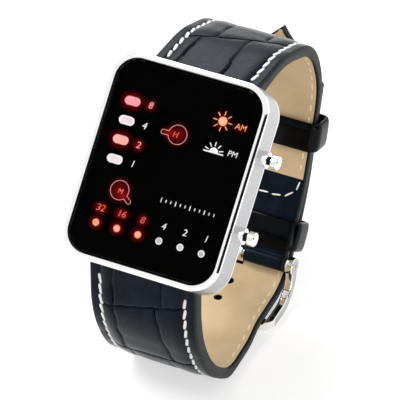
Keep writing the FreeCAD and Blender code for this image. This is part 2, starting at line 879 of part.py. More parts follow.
def lining_stop():
    """All that lies below the flap, where the cover is turned back and sewn over the lining."""
    flap_end = shifted(short_start, short_run, flap_length)
    side = outward(short_run)
    inner = shifted(flap_end, side, -far)
    outer = shifted(flap_end, side, far)
    corners = [inner, outer, shifted(outer, short_run, -far), shifted(inner, short_run, -far)]
    return cut_from([V(-far, *c) for c in corners], V(2 * far, 0, 0))


def make_short_strap():
    zero = [0.0] * len(short_line)
    lining_top = [lining_thickness] * len(short_line)
    wide = strap_half + past
    padded = strap_half - padding_margin
    outline = short_outline()
    wrap = across(lug_wrap, wide, lug_high)
    lining = band(short_line, short_radii, zero, lining_top, -wide, wide)
    lining = lining.common(outline).cut([wrap, lining_stop()])
    padding = band(short_line[2:], short_radii[2:], lining_top[2:], padding_tops(short_thick)[2:],
                   -padded, padded)
    padding = padding.cut([wrap, lining])
    cover = band(short_line, short_radii, zero, short_thick, -wide, wide)
    cover = cover.cut([lining, padding]).common(outline)
    cover = cover.fuse([across(lug_wrap, strap_half, lug_high),
                        across(buckle_wrap_radius, buckle_half_width, buckle_bar)]).removeSplitter()
    tongue_mouth = across(buckle_wrap_radius + past, tongue_width / 2 + tongue_mouth_gap, buckle_bar)
    cover = cover.cut([lining, padding, tongue_mouth, across(bar_radius + fit_gap, wide, lug_high),
                       across(buckle_bar_radius + fit_gap, wide, buckle_bar)])
    save("short_strap_cover", main_solid(cover))
    save("short_strap_lining", main_solid(lining))
    save("short_strap_padding", main_solid(padding))


# ---------- keepers ----------

def keeper_block(half_x, low, high, width, corner):
    box = Part.makeBox(2 * half_x, high - low, width, V(-half_x, low, -width / 2))
    return box.makeFillet(corner, [e for e in box.Edges if e.BoundBox.ZLength > width / 2])


def keeper(centre, run, half_opening, inner_gap, opening):
    """A leather loop round both straps; the centre is on the short strap's lining."""
    low = -inner_gap
    high = low + opening
    half_loop = half_opening + keeper_wall
    inside_corner = keeper_corner - keeper_wall
    loop = keeper_block(half_loop, low - keeper_wall, high + keeper_wall, keeper_width, keeper_corner)
    loop = loop.cut(keeper_block(half_opening, low, high, keeper_width + 2 * past, inside_corner))
    skin = keeper_wall - keeper_groove_depth
    groove = keeper_block(half_loop + past, low - keeper_wall - past, high + keeper_wall + past,
                          keeper_groove_width, keeper_corner)
    groove = groove.cut(keeper_block(half_opening + skin, low - skin, high + skin, keeper_width,
                                     keeper_corner - keeper_groove_depth))
    loop = loop.cut(groove)
    loop.rotate(V(0, 0, 0), V(1, 0, 0), math.degrees(math.atan2(run[1], run[0])) - 90)
    loop.translate(V(0, *centre))
    return loop


def short_half_width(height):
    """Half the short strap's width at a height."""
    share = (height - buckle_bar[1]) / (crest[1] - buckle_bar[1])
    return buckle_half_width + (strap_half - buckle_half_width) * share


def make_free_keeper():
    """The upper loop, free to slide on the straight run of the two straps."""
    reach = back_radius * math.tan(abs(turn_between(back_run, unit(rear, crest))) / 2)
    centre = shifted(rear, back_run, -reach - free_keeper_below_bend)
    return keeper(centre, back_run, short_half_width(centre[1]) + keeper_side_gap, keeper_gap,
                  tail_outside + 2 * keeper_gap)


def make_fixed_keeper():
    """The lower loop, sewn to the short strap, with room for the tail that swings round the buckle."""
    centre = shifted(knee, short_run, -fixed_keeper_below_knee)
    low = shifted(centre, short_run, -keeper_width / 2)
    normal = outward(tail_run)
    spread = (tail_touch[0] - low[0]) * normal[0] + (tail_touch[1] - low[1]) * normal[1]
    return keeper(centre, short_run, buckle_half_width + fixed_keeper_side_gap, fixed_keeper_gap,
                  spread + fixed_keeper_gap + keeper_gap)


# ---------- buckle ----------

def frame_arm(start_x, end_x):
    """One side of the buckle frame: down from the bar, then forward along the table to the end bar."""
    half = frame_arm_thickness / 2
    line = [buckle_bar, (buckle_bar[0] - frame_bend_forward, half), (end_bar_y - end_bar_length / 2, half)]
    arm = band(line, [frame_bend_radius], [-half] * 3, [half] * 3, start_x, end_x)
    arm = side_rounded(arm, start_x, end_x, frame_edge)
    hub = along_x(frame_hub_radius, start_x, end_x, *buckle_bar)
    return arm.fuse(side_rounded(hub, start_x, end_x, frame_edge))


def make_frame():
    inner = buckle_half_width + frame_side_gap
    outer = inner + frame_arm_width
    front = end_bar_y - end_bar_length / 2
    bar = Part.makeBox(2 * outer, end_bar_length, end_bar_height, V(-outer, front, 0))
    bar = bar.makeFillet(frame_edge, [e for e in bar.Edges if e.BoundBox.XLength > outer])
    frame = bar.fuse([frame_arm(inner, outer), frame_arm(-outer, -inner)])
    plan = Part.makeBox(2 * outer, far, far, V(-outer, front, -past))
    corners = [e for e in plan.Edges if e.BoundBox.ZLength > past and e.BoundBox.YMax < end_bar_y]
    frame = frame.common(plan.makeFillet(frame_corner, corners))
    seat = tongue_width / 2 + tongue_seat_gap
    frame = frame.cut(Part.makeBox(2 * seat, end_bar_length + 2 * past, tongue_seat_depth + past,
                                   V(-seat, front - past, -past)))
    return main_solid(frame.cut(across(pin_radius + pin_hole_gap, outer + past, buckle_bar)))


def make_tongue():
    """From its hub on the bar, down through the strap and forward under the end bar."""
    half = tongue_thickness / 2
    side = tongue_width / 2
    drop_y = buckle_bar[0] + tongue_drop_back
    tip = (end_bar_y - end_bar_length / 2 + tongue_tip_gap, half + tongue_table_gap)
    line = [(drop_y, buckle_bar[1] - buckle_bar_radius), (drop_y, tongue_run_height), tip]
    arm = band(line, [tongue_bend_radius], [-half] * 3, [half] * 3, -side, side)
    hub = across(buckle_bar_radius + fit_gap + tongue_hub_wall, side, buckle_bar)
    tongue = arm.fuse(hub).removeSplitter()
    return main_solid(tongue.cut(across(buckle_bar_radius + fit_gap, side + past, buckle_bar)))


# ---------- spring bars ----------

def spring_bar(name, place, tube_radius, tube_half, reach):
    """A sprung bar: crimped tube, two pins that push in, and the spring between them."""
    tube = across(tube_radius, tube_half, place)
    tube = tube.cut([across(bar_bore, tube_half - bar_lip, place),
                     across(bar_lip_bore, tube_half + past, place)])
    save(name + "_tube", tube)
    shoulder = tube_half - bar_lip - slide_gap
    shoulder_start = shoulder - pin_shoulder_length
    for side, sign in (("left", -1), ("right", 1)):
        start, stop = sorted((sign * shoulder_start, sign * shoulder))
        plug = along_x(pin_shoulder_radius, start, stop, *place)
        start, stop = sorted((sign * shoulder_start, sign * reach))
        save(name + "_" + side + "_pin", plug.fuse(along_x(pin_radius, start, stop, *place)).removeSplitter())
    spring_end = shoulder_start - slide_gap
    spring = coil(bar_spring_wire, bar_spring_radius, bar_spring_turns, -spring_end, spring_end, *place)
    save(name + "_spring", spring)


# ---------- build ----------

save("case_body", on_case(make_case()))
save("lens", on_case(plate(lens_x - fit_gap, lens_y - fit_gap, lens_corner - fit_gap, lens_top, lens_bottom)))
save("lens_gasket", on_case(make_lens_gasket()))
save("dial_mask", on_case(make_mask()))
save("hour_windows", *[on_case(s) for s in hour_slots(0, mask_top, mask_bottom)])
save("minute_windows", *[on_case(s) for s in minute_slots(0, mask_top, mask_bottom)])
save("meridiem_windows", *[on_case(s) for s in meridiem_slots(0, mask_top, mask_bottom)])
make_module()
save("back_gasket", on_case(make_back_gasket()))
save("back_cover", on_case(make_back()))
save("back_screws", *[on_case(s) for s in make_screws()])
make_pushers()
make_long_strap()
make_short_strap()
save("free_keeper", make_free_keeper())
save("fixed_keeper", make_fixed_keeper())
save("buckle_frame", make_frame())
save("buckle_tongue", make_tongue())
for end, lug in (("upper", lug_high), ("lower", lug_low)):
    spring_bar(end + "_bar", lug, bar_radius, strap_half - bar_end_gap, notch_x + pin_grip)
spring_bar("buckle_bar", buckle_bar, buckle_bar_radius, buckle_half_width - buckle_bar_end_gap,
           buckle_half_width + frame_side_gap + frame_arm_width - buckle_pin_skin)

labels = {"buckle bar": buckle_bar, "upper lug": lug_high, "lower lug": lug_low, "back run": back_run,
          "end bar": (end_bar_y, 0.0), "face": (-face_forward, face_height)}
for label, place in labels.items():
    print(label, "y", round(place[0], 4), "z", round(place[1], 4))
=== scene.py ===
import math
import random

import bmesh
import bpy
import numpy as np
from mathutils import Matrix, Vector


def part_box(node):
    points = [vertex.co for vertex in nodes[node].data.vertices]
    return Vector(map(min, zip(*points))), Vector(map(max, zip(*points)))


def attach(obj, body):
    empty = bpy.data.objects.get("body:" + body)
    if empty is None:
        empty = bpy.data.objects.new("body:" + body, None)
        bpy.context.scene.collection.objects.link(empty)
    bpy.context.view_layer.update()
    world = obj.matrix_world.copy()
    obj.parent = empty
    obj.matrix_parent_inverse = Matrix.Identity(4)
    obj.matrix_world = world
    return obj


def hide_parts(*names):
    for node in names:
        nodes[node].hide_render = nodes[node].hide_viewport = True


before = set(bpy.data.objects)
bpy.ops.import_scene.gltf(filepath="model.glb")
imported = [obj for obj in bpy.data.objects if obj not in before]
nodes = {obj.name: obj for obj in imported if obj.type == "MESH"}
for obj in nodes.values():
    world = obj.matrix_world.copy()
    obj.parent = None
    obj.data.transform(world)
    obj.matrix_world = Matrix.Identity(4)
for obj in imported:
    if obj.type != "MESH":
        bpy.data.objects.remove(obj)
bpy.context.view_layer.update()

mm = 0.001  # the drawing sizes below are millimetres
print("frame loaded:", len(nodes), "nodes")

cameraSetup = {"place": (241.148, -508.891, 497.067), "tilt": 51.0, "turn": 25.18, "lens": 315,
               "sensor": 36, "farthest": 10}


def addObject(name, data):
    thing = bpy.data.objects.new(name, data)
    bpy.context.scene.collection.objects.link(thing)
    return thing


def makeCamera(setup):
    data = bpy.data.cameras.new("camera")
    data.lens = setup["lens"]
    data.sensor_width = setup["sensor"]
    data.clip_end = setup["farthest"]  # metres
    camera = addObject("camera", data)
    camera.location = Vector(setup["place"]) * mm
    camera.rotation_euler = (math.radians(setup["tilt"]), 0, math.radians(setup["turn"]))
    bpy.context.scene.camera = camera


makeCamera(cameraSetup)


def meshFrom(name, bm):
    mesh = bpy.data.meshes.new(name)
    bm.to_mesh(mesh)
    bm.free()
    return mesh


def addNode(tree, kind, **settings):
    node = tree.nodes.new(kind)
    for name, value in settings.items():
        setattr(node, name, value)
    return node


def setSockets(node, values):
    for name, value in values.items():
        if isinstance(value, tuple) and len(value) == 3 and node.inputs[name].type == "RGBA":
            value = (*value, 1)
        node.inputs[name].default_value = value


def feed(owner, socket, value):
    # a number or a colour goes on the socket itself, anything else is linked to it
    if isinstance(value, tuple):
        socket.default_value = (*value, 1)
    elif isinstance(value, (int, float)):
        socket.default_value = value
    else:
        owner.node_tree.links.new(value, socket)


def shaderOf(material):
    return material.node_tree.nodes["Principled BSDF"]


def newMaterial(name, values):
    material = bpy.data.materials.new(name)
    material.use_nodes = True
    setSockets(shaderOf(material), values)
    return material


def wire(material, value, socket):
    material.node_tree.links.new(value, shaderOf(material).inputs[socket])


def mathOf(owner, valueA, valueB, operation="ADD"):
    node = addNode(owner.node_tree, "ShaderNodeMath", operation=operation)
    feed(owner, node.inputs[0], valueA)
    feed(owner, node.inputs[1], valueB)
    return node.outputs[0]


def rangeOf(owner, value, low, high, outLow, outHigh):
    node = addNode(owner.node_tree, "ShaderNodeMapRange")
    setSockets(node, {"From Min": low, "From Max": high, "To Min": outLow, "To Max": outHigh})
    feed(owner, node.inputs["Value"], value)
    return node.outputs["Result"]


roomSetup = {
    "seen": 1.0, "lighting": 0.58, "aim": (0, 5, 30),
    "lamps": {"key": {"place": (-330, -220, 720), "size": 380, "power": 4.4},
              "fill": {"place": (560, -420, 260), "size": 420, "power": 1.6},
              "back": {"place": (-210, 430, 400), "size": 360, "power": 1.3}},
    "floorColour": (0.62, 0.62, 0.62), "floorRoughness": 0.9, "floorLift": 0.54, "floorSize": 3.0,
    "card": {"away": (0.92, -0.22, 0.27), "along": (0.34, 0.67, -0.65), "from": (0, -12, 58),
             "distance": 420, "length": 440, "width": 230, "colour": (0.01, 0.01, 0.01)},
}


def seenByEye(owner):
    # 1 for rays from the camera and for what metal and glass show
    rays = addNode(owner.node_tree, "ShaderNodeLightPath").outputs
    direct = mathOf(owner, rays["Is Camera Ray"], rays["Is Glossy Ray"], "MAXIMUM")
    return mathOf(owner, direct, rays["Is Transmission Ray"], "MAXIMUM")


def makeWorld(setup):
    world = bpy.data.worlds.new("room")
    world.use_nodes = True
    bpy.context.scene.world = world
    background = world.node_tree.nodes["Background"]
    background.inputs["Color"].default_value = (1, 1, 1, 1)
    level = rangeOf(world, seenByEye(world), 0.0, 1.0, setup["lighting"], setup["seen"])
    feed(world, background.inputs["Strength"], level)


def makeLamp(name, values, aim):
    data = bpy.data.lights.new(name, "AREA")
    data.shape = "DISK"
    data.size = values["size"] * mm
    data.energy = values["power"]
    lamp = addObject(name, data)
    lamp.location = Vector(values["place"]) * mm
    lamp.rotation_euler = (Vector(aim) * mm - lamp.location).to_track_quat("-Z", "Y").to_euler()


def makeFloor(setup):
    bm = bmesh.new()
    bmesh.ops.create_grid(bm, x_segments=1, y_segments=1, size=setup["floorSize"])
    floor = addObject("floor", meshFrom("floor", bm))
    paper = newMaterial("paper", {"Base Color": setup["floorColour"], "Roughness": setup["floorRoughness"],
                                  "Specular IOR Level": 0.0, "Emission Color": (1.0, 1.0, 1.0)})
    wire(paper, mathOf(paper, seenByEye(paper), setup["floorLift"], "MULTIPLY"), "Emission Strength")
    floor.data.materials.append(paper)


def makeCard(values):
    # a dark flag beside the object, for the dark lines in polished metal
    away = Vector(values["away"]).normalized()
    side = Vector(values["along"]).cross(away).normalized()
    along = away.cross(side)
    bm = bmesh.new()
    bmesh.ops.create_grid(bm, x_segments=1, y_segments=1, size=0.5)
    bm.transform(Matrix.Diagonal((values["length"] * mm, values["width"] * mm, 1, 1)))
    bm.transform(Matrix((along, side, -away)).transposed().to_4x4())
    bm.transform(Matrix.Translation(away * values["distance"] * mm + Vector(values["from"]) * mm))
    card = addObject("dark_card", meshFrom("dark_card", bm))
    cloth = newMaterial("card_cloth", {"Base Color": values["colour"], "Roughness": 1.0,
                                       "Specular IOR Level": 0.0})
    card.data.materials.append(cloth)
    card.visible_camera = False
    card.visible_diffuse = False
    card.visible_shadow = False


bpy.context.scene.view_settings.view_transform = "Standard"
makeWorld(roomSetup)
for lampName, lampValues in roomSetup["lamps"].items():
    makeLamp(lampName, lampValues, roomSetup["aim"])
makeFloor(roomSetup)
makeCard(roomSetup["card"])
print("camera, light and floor ready")

stance = {"lean": 43.9, "faceHeight": 58.0, "faceForward": 12.8}
headTurn = math.radians(90 - stance["lean"])
headPlace = Vector((0, -stance["faceForward"], stance["faceHeight"]))
headFrame = Matrix.Translation(headPlace * mm) @ Matrix.Rotation(headTurn, 4, "X") @ Matrix.Scale(mm, 4)


def placeIn(material, stretch=None, onHead=False):
    # object coordinates in millimetres, in the head's own frame if asked
    coordinates = addNode(material.node_tree, "ShaderNodeTexCoord")
    mapping = addNode(material.node_tree, "ShaderNodeMapping")
    feed(material, mapping.inputs["Vector"], coordinates.outputs["Object"])
    mapping.inputs["Scale"].default_value = (1 / mm, 1 / mm, 1 / mm)
    if onHead:
        mapping.inputs["Rotation"].default_value = (-headTurn, 0, 0)
        mapping.inputs["Location"].default_value = -(Matrix.Rotation(-headTurn, 3, "X") @ headPlace)
    if stretch is None:
        return mapping.outputs["Vector"]
    second = addNode(material.node_tree, "ShaderNodeMapping")
    second.inputs["Scale"].default_value = stretch
    feed(material, second.inputs["Vector"], mapping.outputs["Vector"])
    return second.outputs["Vector"]


def noiseIn(material, place, scale, detail=2.0):
    noise = addNode(material.node_tree, "ShaderNodeTexNoise")
    setSockets(noise, {"Scale": scale, "Detail": detail})
    feed(material, noise.inputs["Vector"], place)
    return noise.outputs["Fac"]


def cellsIn(material, place, scale):
    cells = addNode(material.node_tree, "ShaderNodeTexVoronoi", feature="DISTANCE_TO_EDGE")
    cells.inputs["Scale"].default_value = scale
    feed(material, cells.inputs["Vector"], place)
    return cells.outputs["Distance"]


def axisOf(material, place, axis):
    split = addNode(material.node_tree, "ShaderNodeSeparateXYZ")
    feed(material, split.inputs[0], place)
    return split.outputs[axis]


def spreadOf(material, noise, low=0.0, high=1.0, reach=0.2):
    # the busy middle of a noise, spread from low to high
    return rangeOf(material, noise, 0.5 - reach, 0.5 + reach, low, high)


def blendOf(material, amount, first, second, kind="RGBA"):
    # between two colours, or between two numbers where the kind is FLOAT
    mix = addNode(material.node_tree, "ShaderNodeMix", data_type=kind)
    socketA, socketB, result = (6, 7, 2) if kind == "RGBA" else (2, 3, 0)
    feed(material, mix.inputs[0], amount)
    feed(material, mix.inputs[socketA], first)
    feed(material, mix.inputs[socketB], second)
    return mix.outputs[result]


def bumpOn(material, height, depth, strength=1.0):
    bump = addNode(material.node_tree, "ShaderNodeBump")
    setSockets(bump, {"Strength": strength, "Distance": depth * mm})
    feed(material, bump.inputs["Height"], height)
    wire(material, bump.outputs["Normal"], "Normal")


# the crease colours are near black and darken the creases and the keeper's groove: painted shade
strapLook = {"dark": (0.0026, 0.0052, 0.0100), "light": (0.0058, 0.0104, 0.0180),
             "creaseShade": (0.0001, 0.0002, 0.0003), "mottle": 0.22, "grain": 2.6, "grainDepth": 0.012,
             "wrinkleDepth": 0.026, "shine": (0.15, 0.25), "specular": 0.06, "tint": (0.78, 0.93, 1.0)}
keeperLook = {"dark": (0.0006, 0.0008, 0.0012), "light": (0.0014, 0.0018, 0.0026),
              "creaseShade": (0.0001, 0.0001, 0.0002), "mottle": 0.30, "grain": 2.2, "grainDepth": 0.003,
              "wrinkleDepth": 0.0, "shine": (0.06, 0.12), "specular": 0.10, "tint": (0.90, 0.95, 1.0)}
# what both leathers share
hide = {"poreShare": 2.2, "grainEdge": 0.25, "wrinkles": (0.9, 0.28, 0.28), "wrinkleEdge": 0.05,
        "relief": 0.6}


def makeLeather(name, look):
    leather = newMaterial(name, {"IOR": 1.5, "Specular IOR Level": look["specular"],
                                 "Specular Tint": look["tint"]})
    place = placeIn(leather)
    mottle = spreadOf(leather, noiseIn(leather, place, look["mottle"], 4.0), reach=0.15)
    ground = blendOf(leather, mottle, look["dark"], look["light"])
    # painted shade: the creases and the keeper's groove are darkened towards the near-black crease colour
    creases = addNode(leather.node_tree, "ShaderNodeAttribute", attribute_name="creaseShade").outputs["Fac"]
    wire(leather, blendOf(leather, creases, ground, look["creaseShade"]), "Base Color")
    pores = noiseIn(leather, place, look["grain"] * hide["poreShare"])
    wire(leather, spreadOf(leather, pores, *look["shine"]), "Roughness")
    cells = cellsIn(leather, place, look["grain"])
    grain = mathOf(leather, rangeOf(leather, cells, 0.0, hide["grainEdge"], 0.0, look["grainDepth"]),
                   mathOf(leather, pores, look["grainDepth"], "MULTIPLY"))
    folds = noiseIn(leather, placeIn(leather, hide["wrinkles"]), 1.0, 3.0)
    ridges = mathOf(leather, mathOf(leather, folds, 0.5, "SUBTRACT"), 0.0, "ABSOLUTE")
    wrinkles = rangeOf(leather, ridges, 0.0, hide["wrinkleEdge"], 0.0, look["wrinkleDepth"])
    bumpOn(leather, mathOf(leather, grain, wrinkles), 1.0, hide["relief"])
    return leather


liningLook = {"dark": (0.55, 0.405, 0.225), "light": (0.68, 0.520, 0.315), "mottle": 0.12, "pores": 4.4,
              "poreDepth": 0.03, "shine": (0.5, 0.68), "folds": (0.05, 0.35, 0.35), "foldDepth": 0.35}


def makeLining(look):
    lining = newMaterial("lining_leather_tan", {"IOR": 1.45, "Specular IOR Level": 0.3, "Sheen Weight": 0.1})
    place = placeIn(lining)
    mottle = spreadOf(lining, noiseIn(lining, place, look["mottle"], 4.0))
    wire(lining, blendOf(lining, mottle, look["dark"], look["light"]), "Base Color")
    pores = noiseIn(lining, place, look["pores"], 3.0)
    wire(lining, spreadOf(lining, pores, *look["shine"]), "Roughness")
    folds = noiseIn(lining, placeIn(lining, look["folds"]), 1.0)
    bumpOn(lining, mathOf(lining, mathOf(lining, pores, look["poreDepth"], "MULTIPLY"),
                          mathOf(lining, folds, look["foldDepth"], "MULTIPLY")), 1.0, 0.5)
    return lining


paintLook = {"dark": (0.009, 0.010, 0.010), "light": (0.019, 0.021, 0.021), "wear": 0.8,
             "shine": (0.38, 0.55), "ripple": 3.0, "rippleDepth": 0.04}


def makePaint(look):
    paint = newMaterial("edge_paint", {"IOR": 1.48, "Specular IOR Level": 0.12})
    place = placeIn(paint)
    wear = noiseIn(paint, place, look["wear"], 4.0)
    wire(paint, blendOf(paint, spreadOf(paint, wear), look["dark"], look["light"]), "Base Color")
    wire(paint, spreadOf(paint, wear, *look["shine"]), "Roughness")
    bumpOn(paint, noiseIn(paint, place, look["ripple"], 3.0), look["rippleDepth"], 0.5)
    return paint


threadLook = {"white": ((0.78, 0.78, 0.76), (0.94, 0.94, 0.92)),
              "cream": ((0.80, 0.66, 0.44), (0.95, 0.82, 0.60)), "fibres": 6.0, "fibreDepth": 0.05}


def makeThread(colour, look):
    linen = newMaterial("linen_thread_" + colour, {"Roughness": 0.7, "Sheen Weight": 0.2})
    fibres = noiseIn(linen, placeIn(linen), look["fibres"], 3.0)
    wire(linen, blendOf(linen, fibres, *look[colour]), "Base Color")
    bumpOn(linen, fibres, look["fibreDepth"], 0.6)
    return linen


metalGrain = {"brushed": 3.0, "polished": 0.9}


def makeMetal(name, colour, polish, brushing=None, brushDepth=0.004, onHead=False):
    # brushing stretches the noise into fine lines; without it the metal is polished
    metal = newMaterial(name, {"Metallic": 1.0, "Base Color": colour})
    scale = metalGrain["brushed" if brushing else "polished"]
    lines = noiseIn(metal, placeIn(metal, brushing, onHead), scale, 3.0)
    wire(metal, spreadOf(metal, lines, *polish), "Roughness")
    bumpOn(metal, lines, brushDepth, 0.5)
    return metal


caseLook = {"polished": (0.04, 0.07), "satin": (0.30, 0.38), "edgeBelow": -0.8, "edgeAbove": -7.75,
            "edgeBlur": 0.15, "bright": (0.91, 0.91, 0.905), "grey": (0.47, 0.47, 0.48),
            "brushing": (8.0, 0.25, 8.0), "smears": 0.5}
# the rounding of the bezel's edge starts further in than the case's own edge radius
bezelCrown = {"halfX": 17.5, "halfY": 21.8, "corner": 6.0, "start": -0.56, "edge": -0.45, "end": -0.09,
              "slope": 1.19, "anyDepth": 1000}


def vectorOf(material, first, second, operation):
    node = addNode(material.node_tree, "ShaderNodeVectorMath", operation=operation)
    feed(material, node.inputs[0], first)
    if second is not None:
        node.inputs[1].default_value = second
    return node.outputs["Value" if operation == "LENGTH" else "Vector"]


def crownOn(material, onHead, crown):
    # a height in millimetres that falls away towards the outline of the rounded oblong
    straights = (crown["halfX"] - crown["corner"], crown["halfY"] - crown["corner"], crown["anyDepth"])
    past = vectorOf(material, vectorOf(material, onHead, None, "ABSOLUTE"), straights, "SUBTRACT")
    reach = vectorOf(material, vectorOf(material, past, (0, 0, 0), "MAXIMUM"), None, "LENGTH")
    inset = mathOf(material, reach, crown["corner"], "SUBTRACT")
    width = crown["end"] - crown["edge"]
    flat = rangeOf(material, inset, crown["start"], crown["edge"], 0.0, crown["edge"] - crown["start"])
    left = rangeOf(material, inset, crown["edge"], crown["end"], width, 0.0)
    eased = mathOf(material, mathOf(material, left, left, "MULTIPLY"), 1 / (2 * width), "MULTIPLY")
    return mathOf(material, mathOf(material, eased, flat, "SUBTRACT"), crown["slope"], "MULTIPLY")


def makeCaseSteel(look, crown):
    # the bezel and both edges of the walls are polished, the walls between them are satin
    steel = newMaterial("case_steel_plated", {"Metallic": 1.0})
    onHead = placeIn(steel, onHead=True)
    depth = axisOf(steel, onHead, "Z")
    below = rangeOf(steel, depth, look["edgeBelow"], look["edgeBelow"] - look["edgeBlur"], 0.0, 1.0)
    above = rangeOf(steel, depth, look["edgeAbove"], look["edgeAbove"] + look["edgeBlur"], 0.0, 1.0)
    wall = mathOf(steel, below, above, "MULTIPLY")
    wire(steel, blendOf(steel, wall, look["bright"], look["grey"]), "Base Color")
    satin = spreadOf(steel, noiseIn(steel, placeIn(steel, look["brushing"], True), 2.0, 3.0), *look["satin"])
    polished = spreadOf(steel, noiseIn(steel, onHead, look["smears"], 3.0), *look["polished"])
    wire(steel, blendOf(steel, wall, polished, satin, "FLOAT"), "Roughness")
    bumpOn(steel, crownOn(steel, onHead, crown), 1.0)
    return steel


# gap is the near-black colour of the stem under the cap, painted shade for the gap there
pusherLook = {"gapEnd": 19.93, "gapBlur": 0.05, "steel": (0.83, 0.825, 0.795), "gap": (0.012, 0.012, 0.013),
              "polish": (0.06, 0.12), "smears": 0.9}


def makePusherSteel(look):
    # a polished cap; the stem below it is near black, painted shade for the gap between collar and cap
    steel = newMaterial("pusher_steel", {"Metallic": 1.0})
    onHead = placeIn(steel, onHead=True)
    across = axisOf(steel, onHead, "X")
    cap = rangeOf(steel, across, look["gapEnd"] - look["gapBlur"], look["gapEnd"], 0.0, 1.0)
    wire(steel, blendOf(steel, cap, look["gap"], look["steel"]), "Base Color")
    wire(steel, spreadOf(steel, noiseIn(steel, onHead, look["smears"], 3.0), *look["polish"]), "Roughness")
    return steel


buckleLook = {"edge": (0.86, 0.855, 0.82), "side": (0.48, 0.48, 0.475), "polish": (0.05, 0.10),
              "satin": (0.22, 0.30), "rounding": 0.16, "flat": 0.03, "smears": 0.9}


def makeBuckleSteel(look):
    # satin on the outer flanks of the arms, polished everywhere else
    steel = newMaterial("buckle_steel", {"Metallic": 1.0})
    place = placeIn(steel)
    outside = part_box("buckle_frame")[1].x / mm
    across = mathOf(steel, axisOf(steel, place, "X"), 0.0, "ABSOLUTE")
    flank = rangeOf(steel, across, outside - look["rounding"], outside - look["flat"], 0.0, 1.0)
    wire(steel, blendOf(steel, flank, look["edge"], look["side"]), "Base Color")
    smears = noiseIn(steel, place, look["smears"], 3.0)
    wire(steel, blendOf(steel, flank, spreadOf(steel, smears, *look["polish"]),
                        spreadOf(steel, smears, *look["satin"]), "FLOAT"), "Roughness")
    return steel


plasticGrain = {"finer": 6, "depth": 0.02, "relief": 0.4}


def makePlastic(name, dark, light, roughness, scale=0.6, specular=0.5):
    plastic = newMaterial(name, {"IOR": 1.46, "Specular IOR Level": specular})
    place = placeIn(plastic)
    shade = noiseIn(plastic, place, scale, 3.0)
    wire(plastic, blendOf(plastic, spreadOf(plastic, shade), dark, light), "Base Color")
    wire(plastic, spreadOf(plastic, shade, *roughness), "Roughness")
    grain = noiseIn(plastic, place, scale * plasticGrain["finer"])
    bumpOn(plastic, grain, plasticGrain["depth"], plasticGrain["relief"])
    return plastic


boardLook = {"ground": (0.012, 0.10, 0.04), "tracks": (0.06, 0.26, 0.11), "shine": (0.3, 0.42), "web": 0.9,
             "trackEdge": (0.04, 0.07)}


def makeBoard(look):
    # tracks and lands show as a lighter green web under the resin
    board = makePlastic("board_resin_green", look["ground"], look["tracks"], look["shine"])
    web = cellsIn(board, placeIn(board, onHead=True), look["web"])
    tracks = rangeOf(board, web, *look["trackEdge"], 1.0, 0.0)
    wire(board, blendOf(board, tracks, look["ground"], look["tracks"]), "Base Color")
    return board


glassLook = {"clear": (0.98, 0.98, 0.98), "smoked": (0.965, 0.965, 0.97), "smears": 0.15,
             "spread": (0.4, 0.7)}


def makeGlass(look):
    # coated against reflections, so it neither mirrors nor bends light
    glass = newMaterial("dial_glass_smoked", {"Transmission Weight": 1.0, "IOR": 1.0, "Roughness": 0.0})
    smears = rangeOf(glass, noiseIn(glass, placeIn(glass), look["smears"], 4.0), *look["spread"], 0.0, 1.0)
    wire(glass, blendOf(glass, smears, look["clear"], look["smoked"]), "Base Color")
    return glass


markLook = {"unlit": (0.02, 0.02, 0.02), "cloud": 0.7}


def makeGlowing(name, first, second, strength):
    # a mark that glows, a little uneven: in the lit windows this is the lamps' own light, on the prints, the
    # rims and the unlit windows it is painted light
    mark = newMaterial(name, {"Roughness": 0.6, "Base Color": markLook["unlit"], "Specular IOR Level": 0.1,
                              "Emission Strength": strength})
    cloud = spreadOf(mark, noiseIn(mark, placeIn(mark, onHead=True), markLook["cloud"]), reach=0.15)
    wire(mark, blendOf(mark, cloud, first, second), "Emission Color")
    return mark


strapLeather = makeLeather("strap_leather_navy", strapLook)
keeperLeather = makeLeather("keeper_leather_glossy", keeperLook)
liningLeather = makeLining(liningLook)
edgePaint = makePaint(paintLook)
whiteThread = makeThread("white", threadLook)
creamThread = makeThread("cream", threadLook)
caseSteel = makeCaseSteel(caseLook, bezelCrown)
polishedSteel = makeMetal("polished_steel", (0.87, 0.87, 0.875), (0.05, 0.10))
print("materials ready")


weldGap = 1e-7  # metres
roundSegments = 32


def finishPiece(name, bm, materials, body, replaced=(), sharpAt=40):
    # turns a bmesh in metres into a piece that rides on a body; edges over sharpAt degrees stay crisp
    bmesh.ops.recalc_face_normals(bm, faces=bm.faces)
    for face in bm.faces:
        face.smooth = len(face.verts) < 5
    limit = math.radians(sharpAt)
    for edge in bm.edges:
        edge.smooth = len(edge.link_faces) != 2 or edge.calc_face_angle(0) < limit
    piece = addObject(name, meshFrom(name, bm))
    for material in materials:
        piece.data.materials.append(material)
    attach(piece, body)
    if replaced:
        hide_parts(*replaced)
    return piece


def workedOut(thing):
    # the mesh of an object with its modifiers or its letters worked out
    bpy.context.view_layer.update()
    return bpy.data.meshes.new_from_object(thing.evaluated_get(bpy.context.evaluated_depsgraph_get()))


def cutWith(piece, cutter):
    # takes a closed bmesh away from a piece, for good
    bmesh.ops.recalc_face_normals(cutter, faces=cutter.faces)
    tool = addObject("cutter", meshFrom("cutter", cutter))
    modifier = piece.modifiers.new("cut", "BOOLEAN")
    modifier.operation = "DIFFERENCE"
    modifier.solver = "EXACT"
    modifier.object = tool
    modifier.material_mode = "TRANSFER"
    cut = workedOut(piece)
    cut.name = piece.name
    piece.modifiers.clear()
    piece.data = cut
    bpy.data.objects.remove(tool)


def addCylinder(bm, start, end, radius):
    start, end = Vector(start) * mm, Vector(end) * mm
    axis = end - start
    turn = Vector((0, 0, 1)).rotation_difference(axis).to_matrix().to_4x4()
    bmesh.ops.create_cone(bm, cap_ends=True, segments=roundSegments, radius1=radius * mm, radius2=radius * mm,
                          depth=axis.length, matrix=Matrix.Translation((start + end) / 2) @ turn)


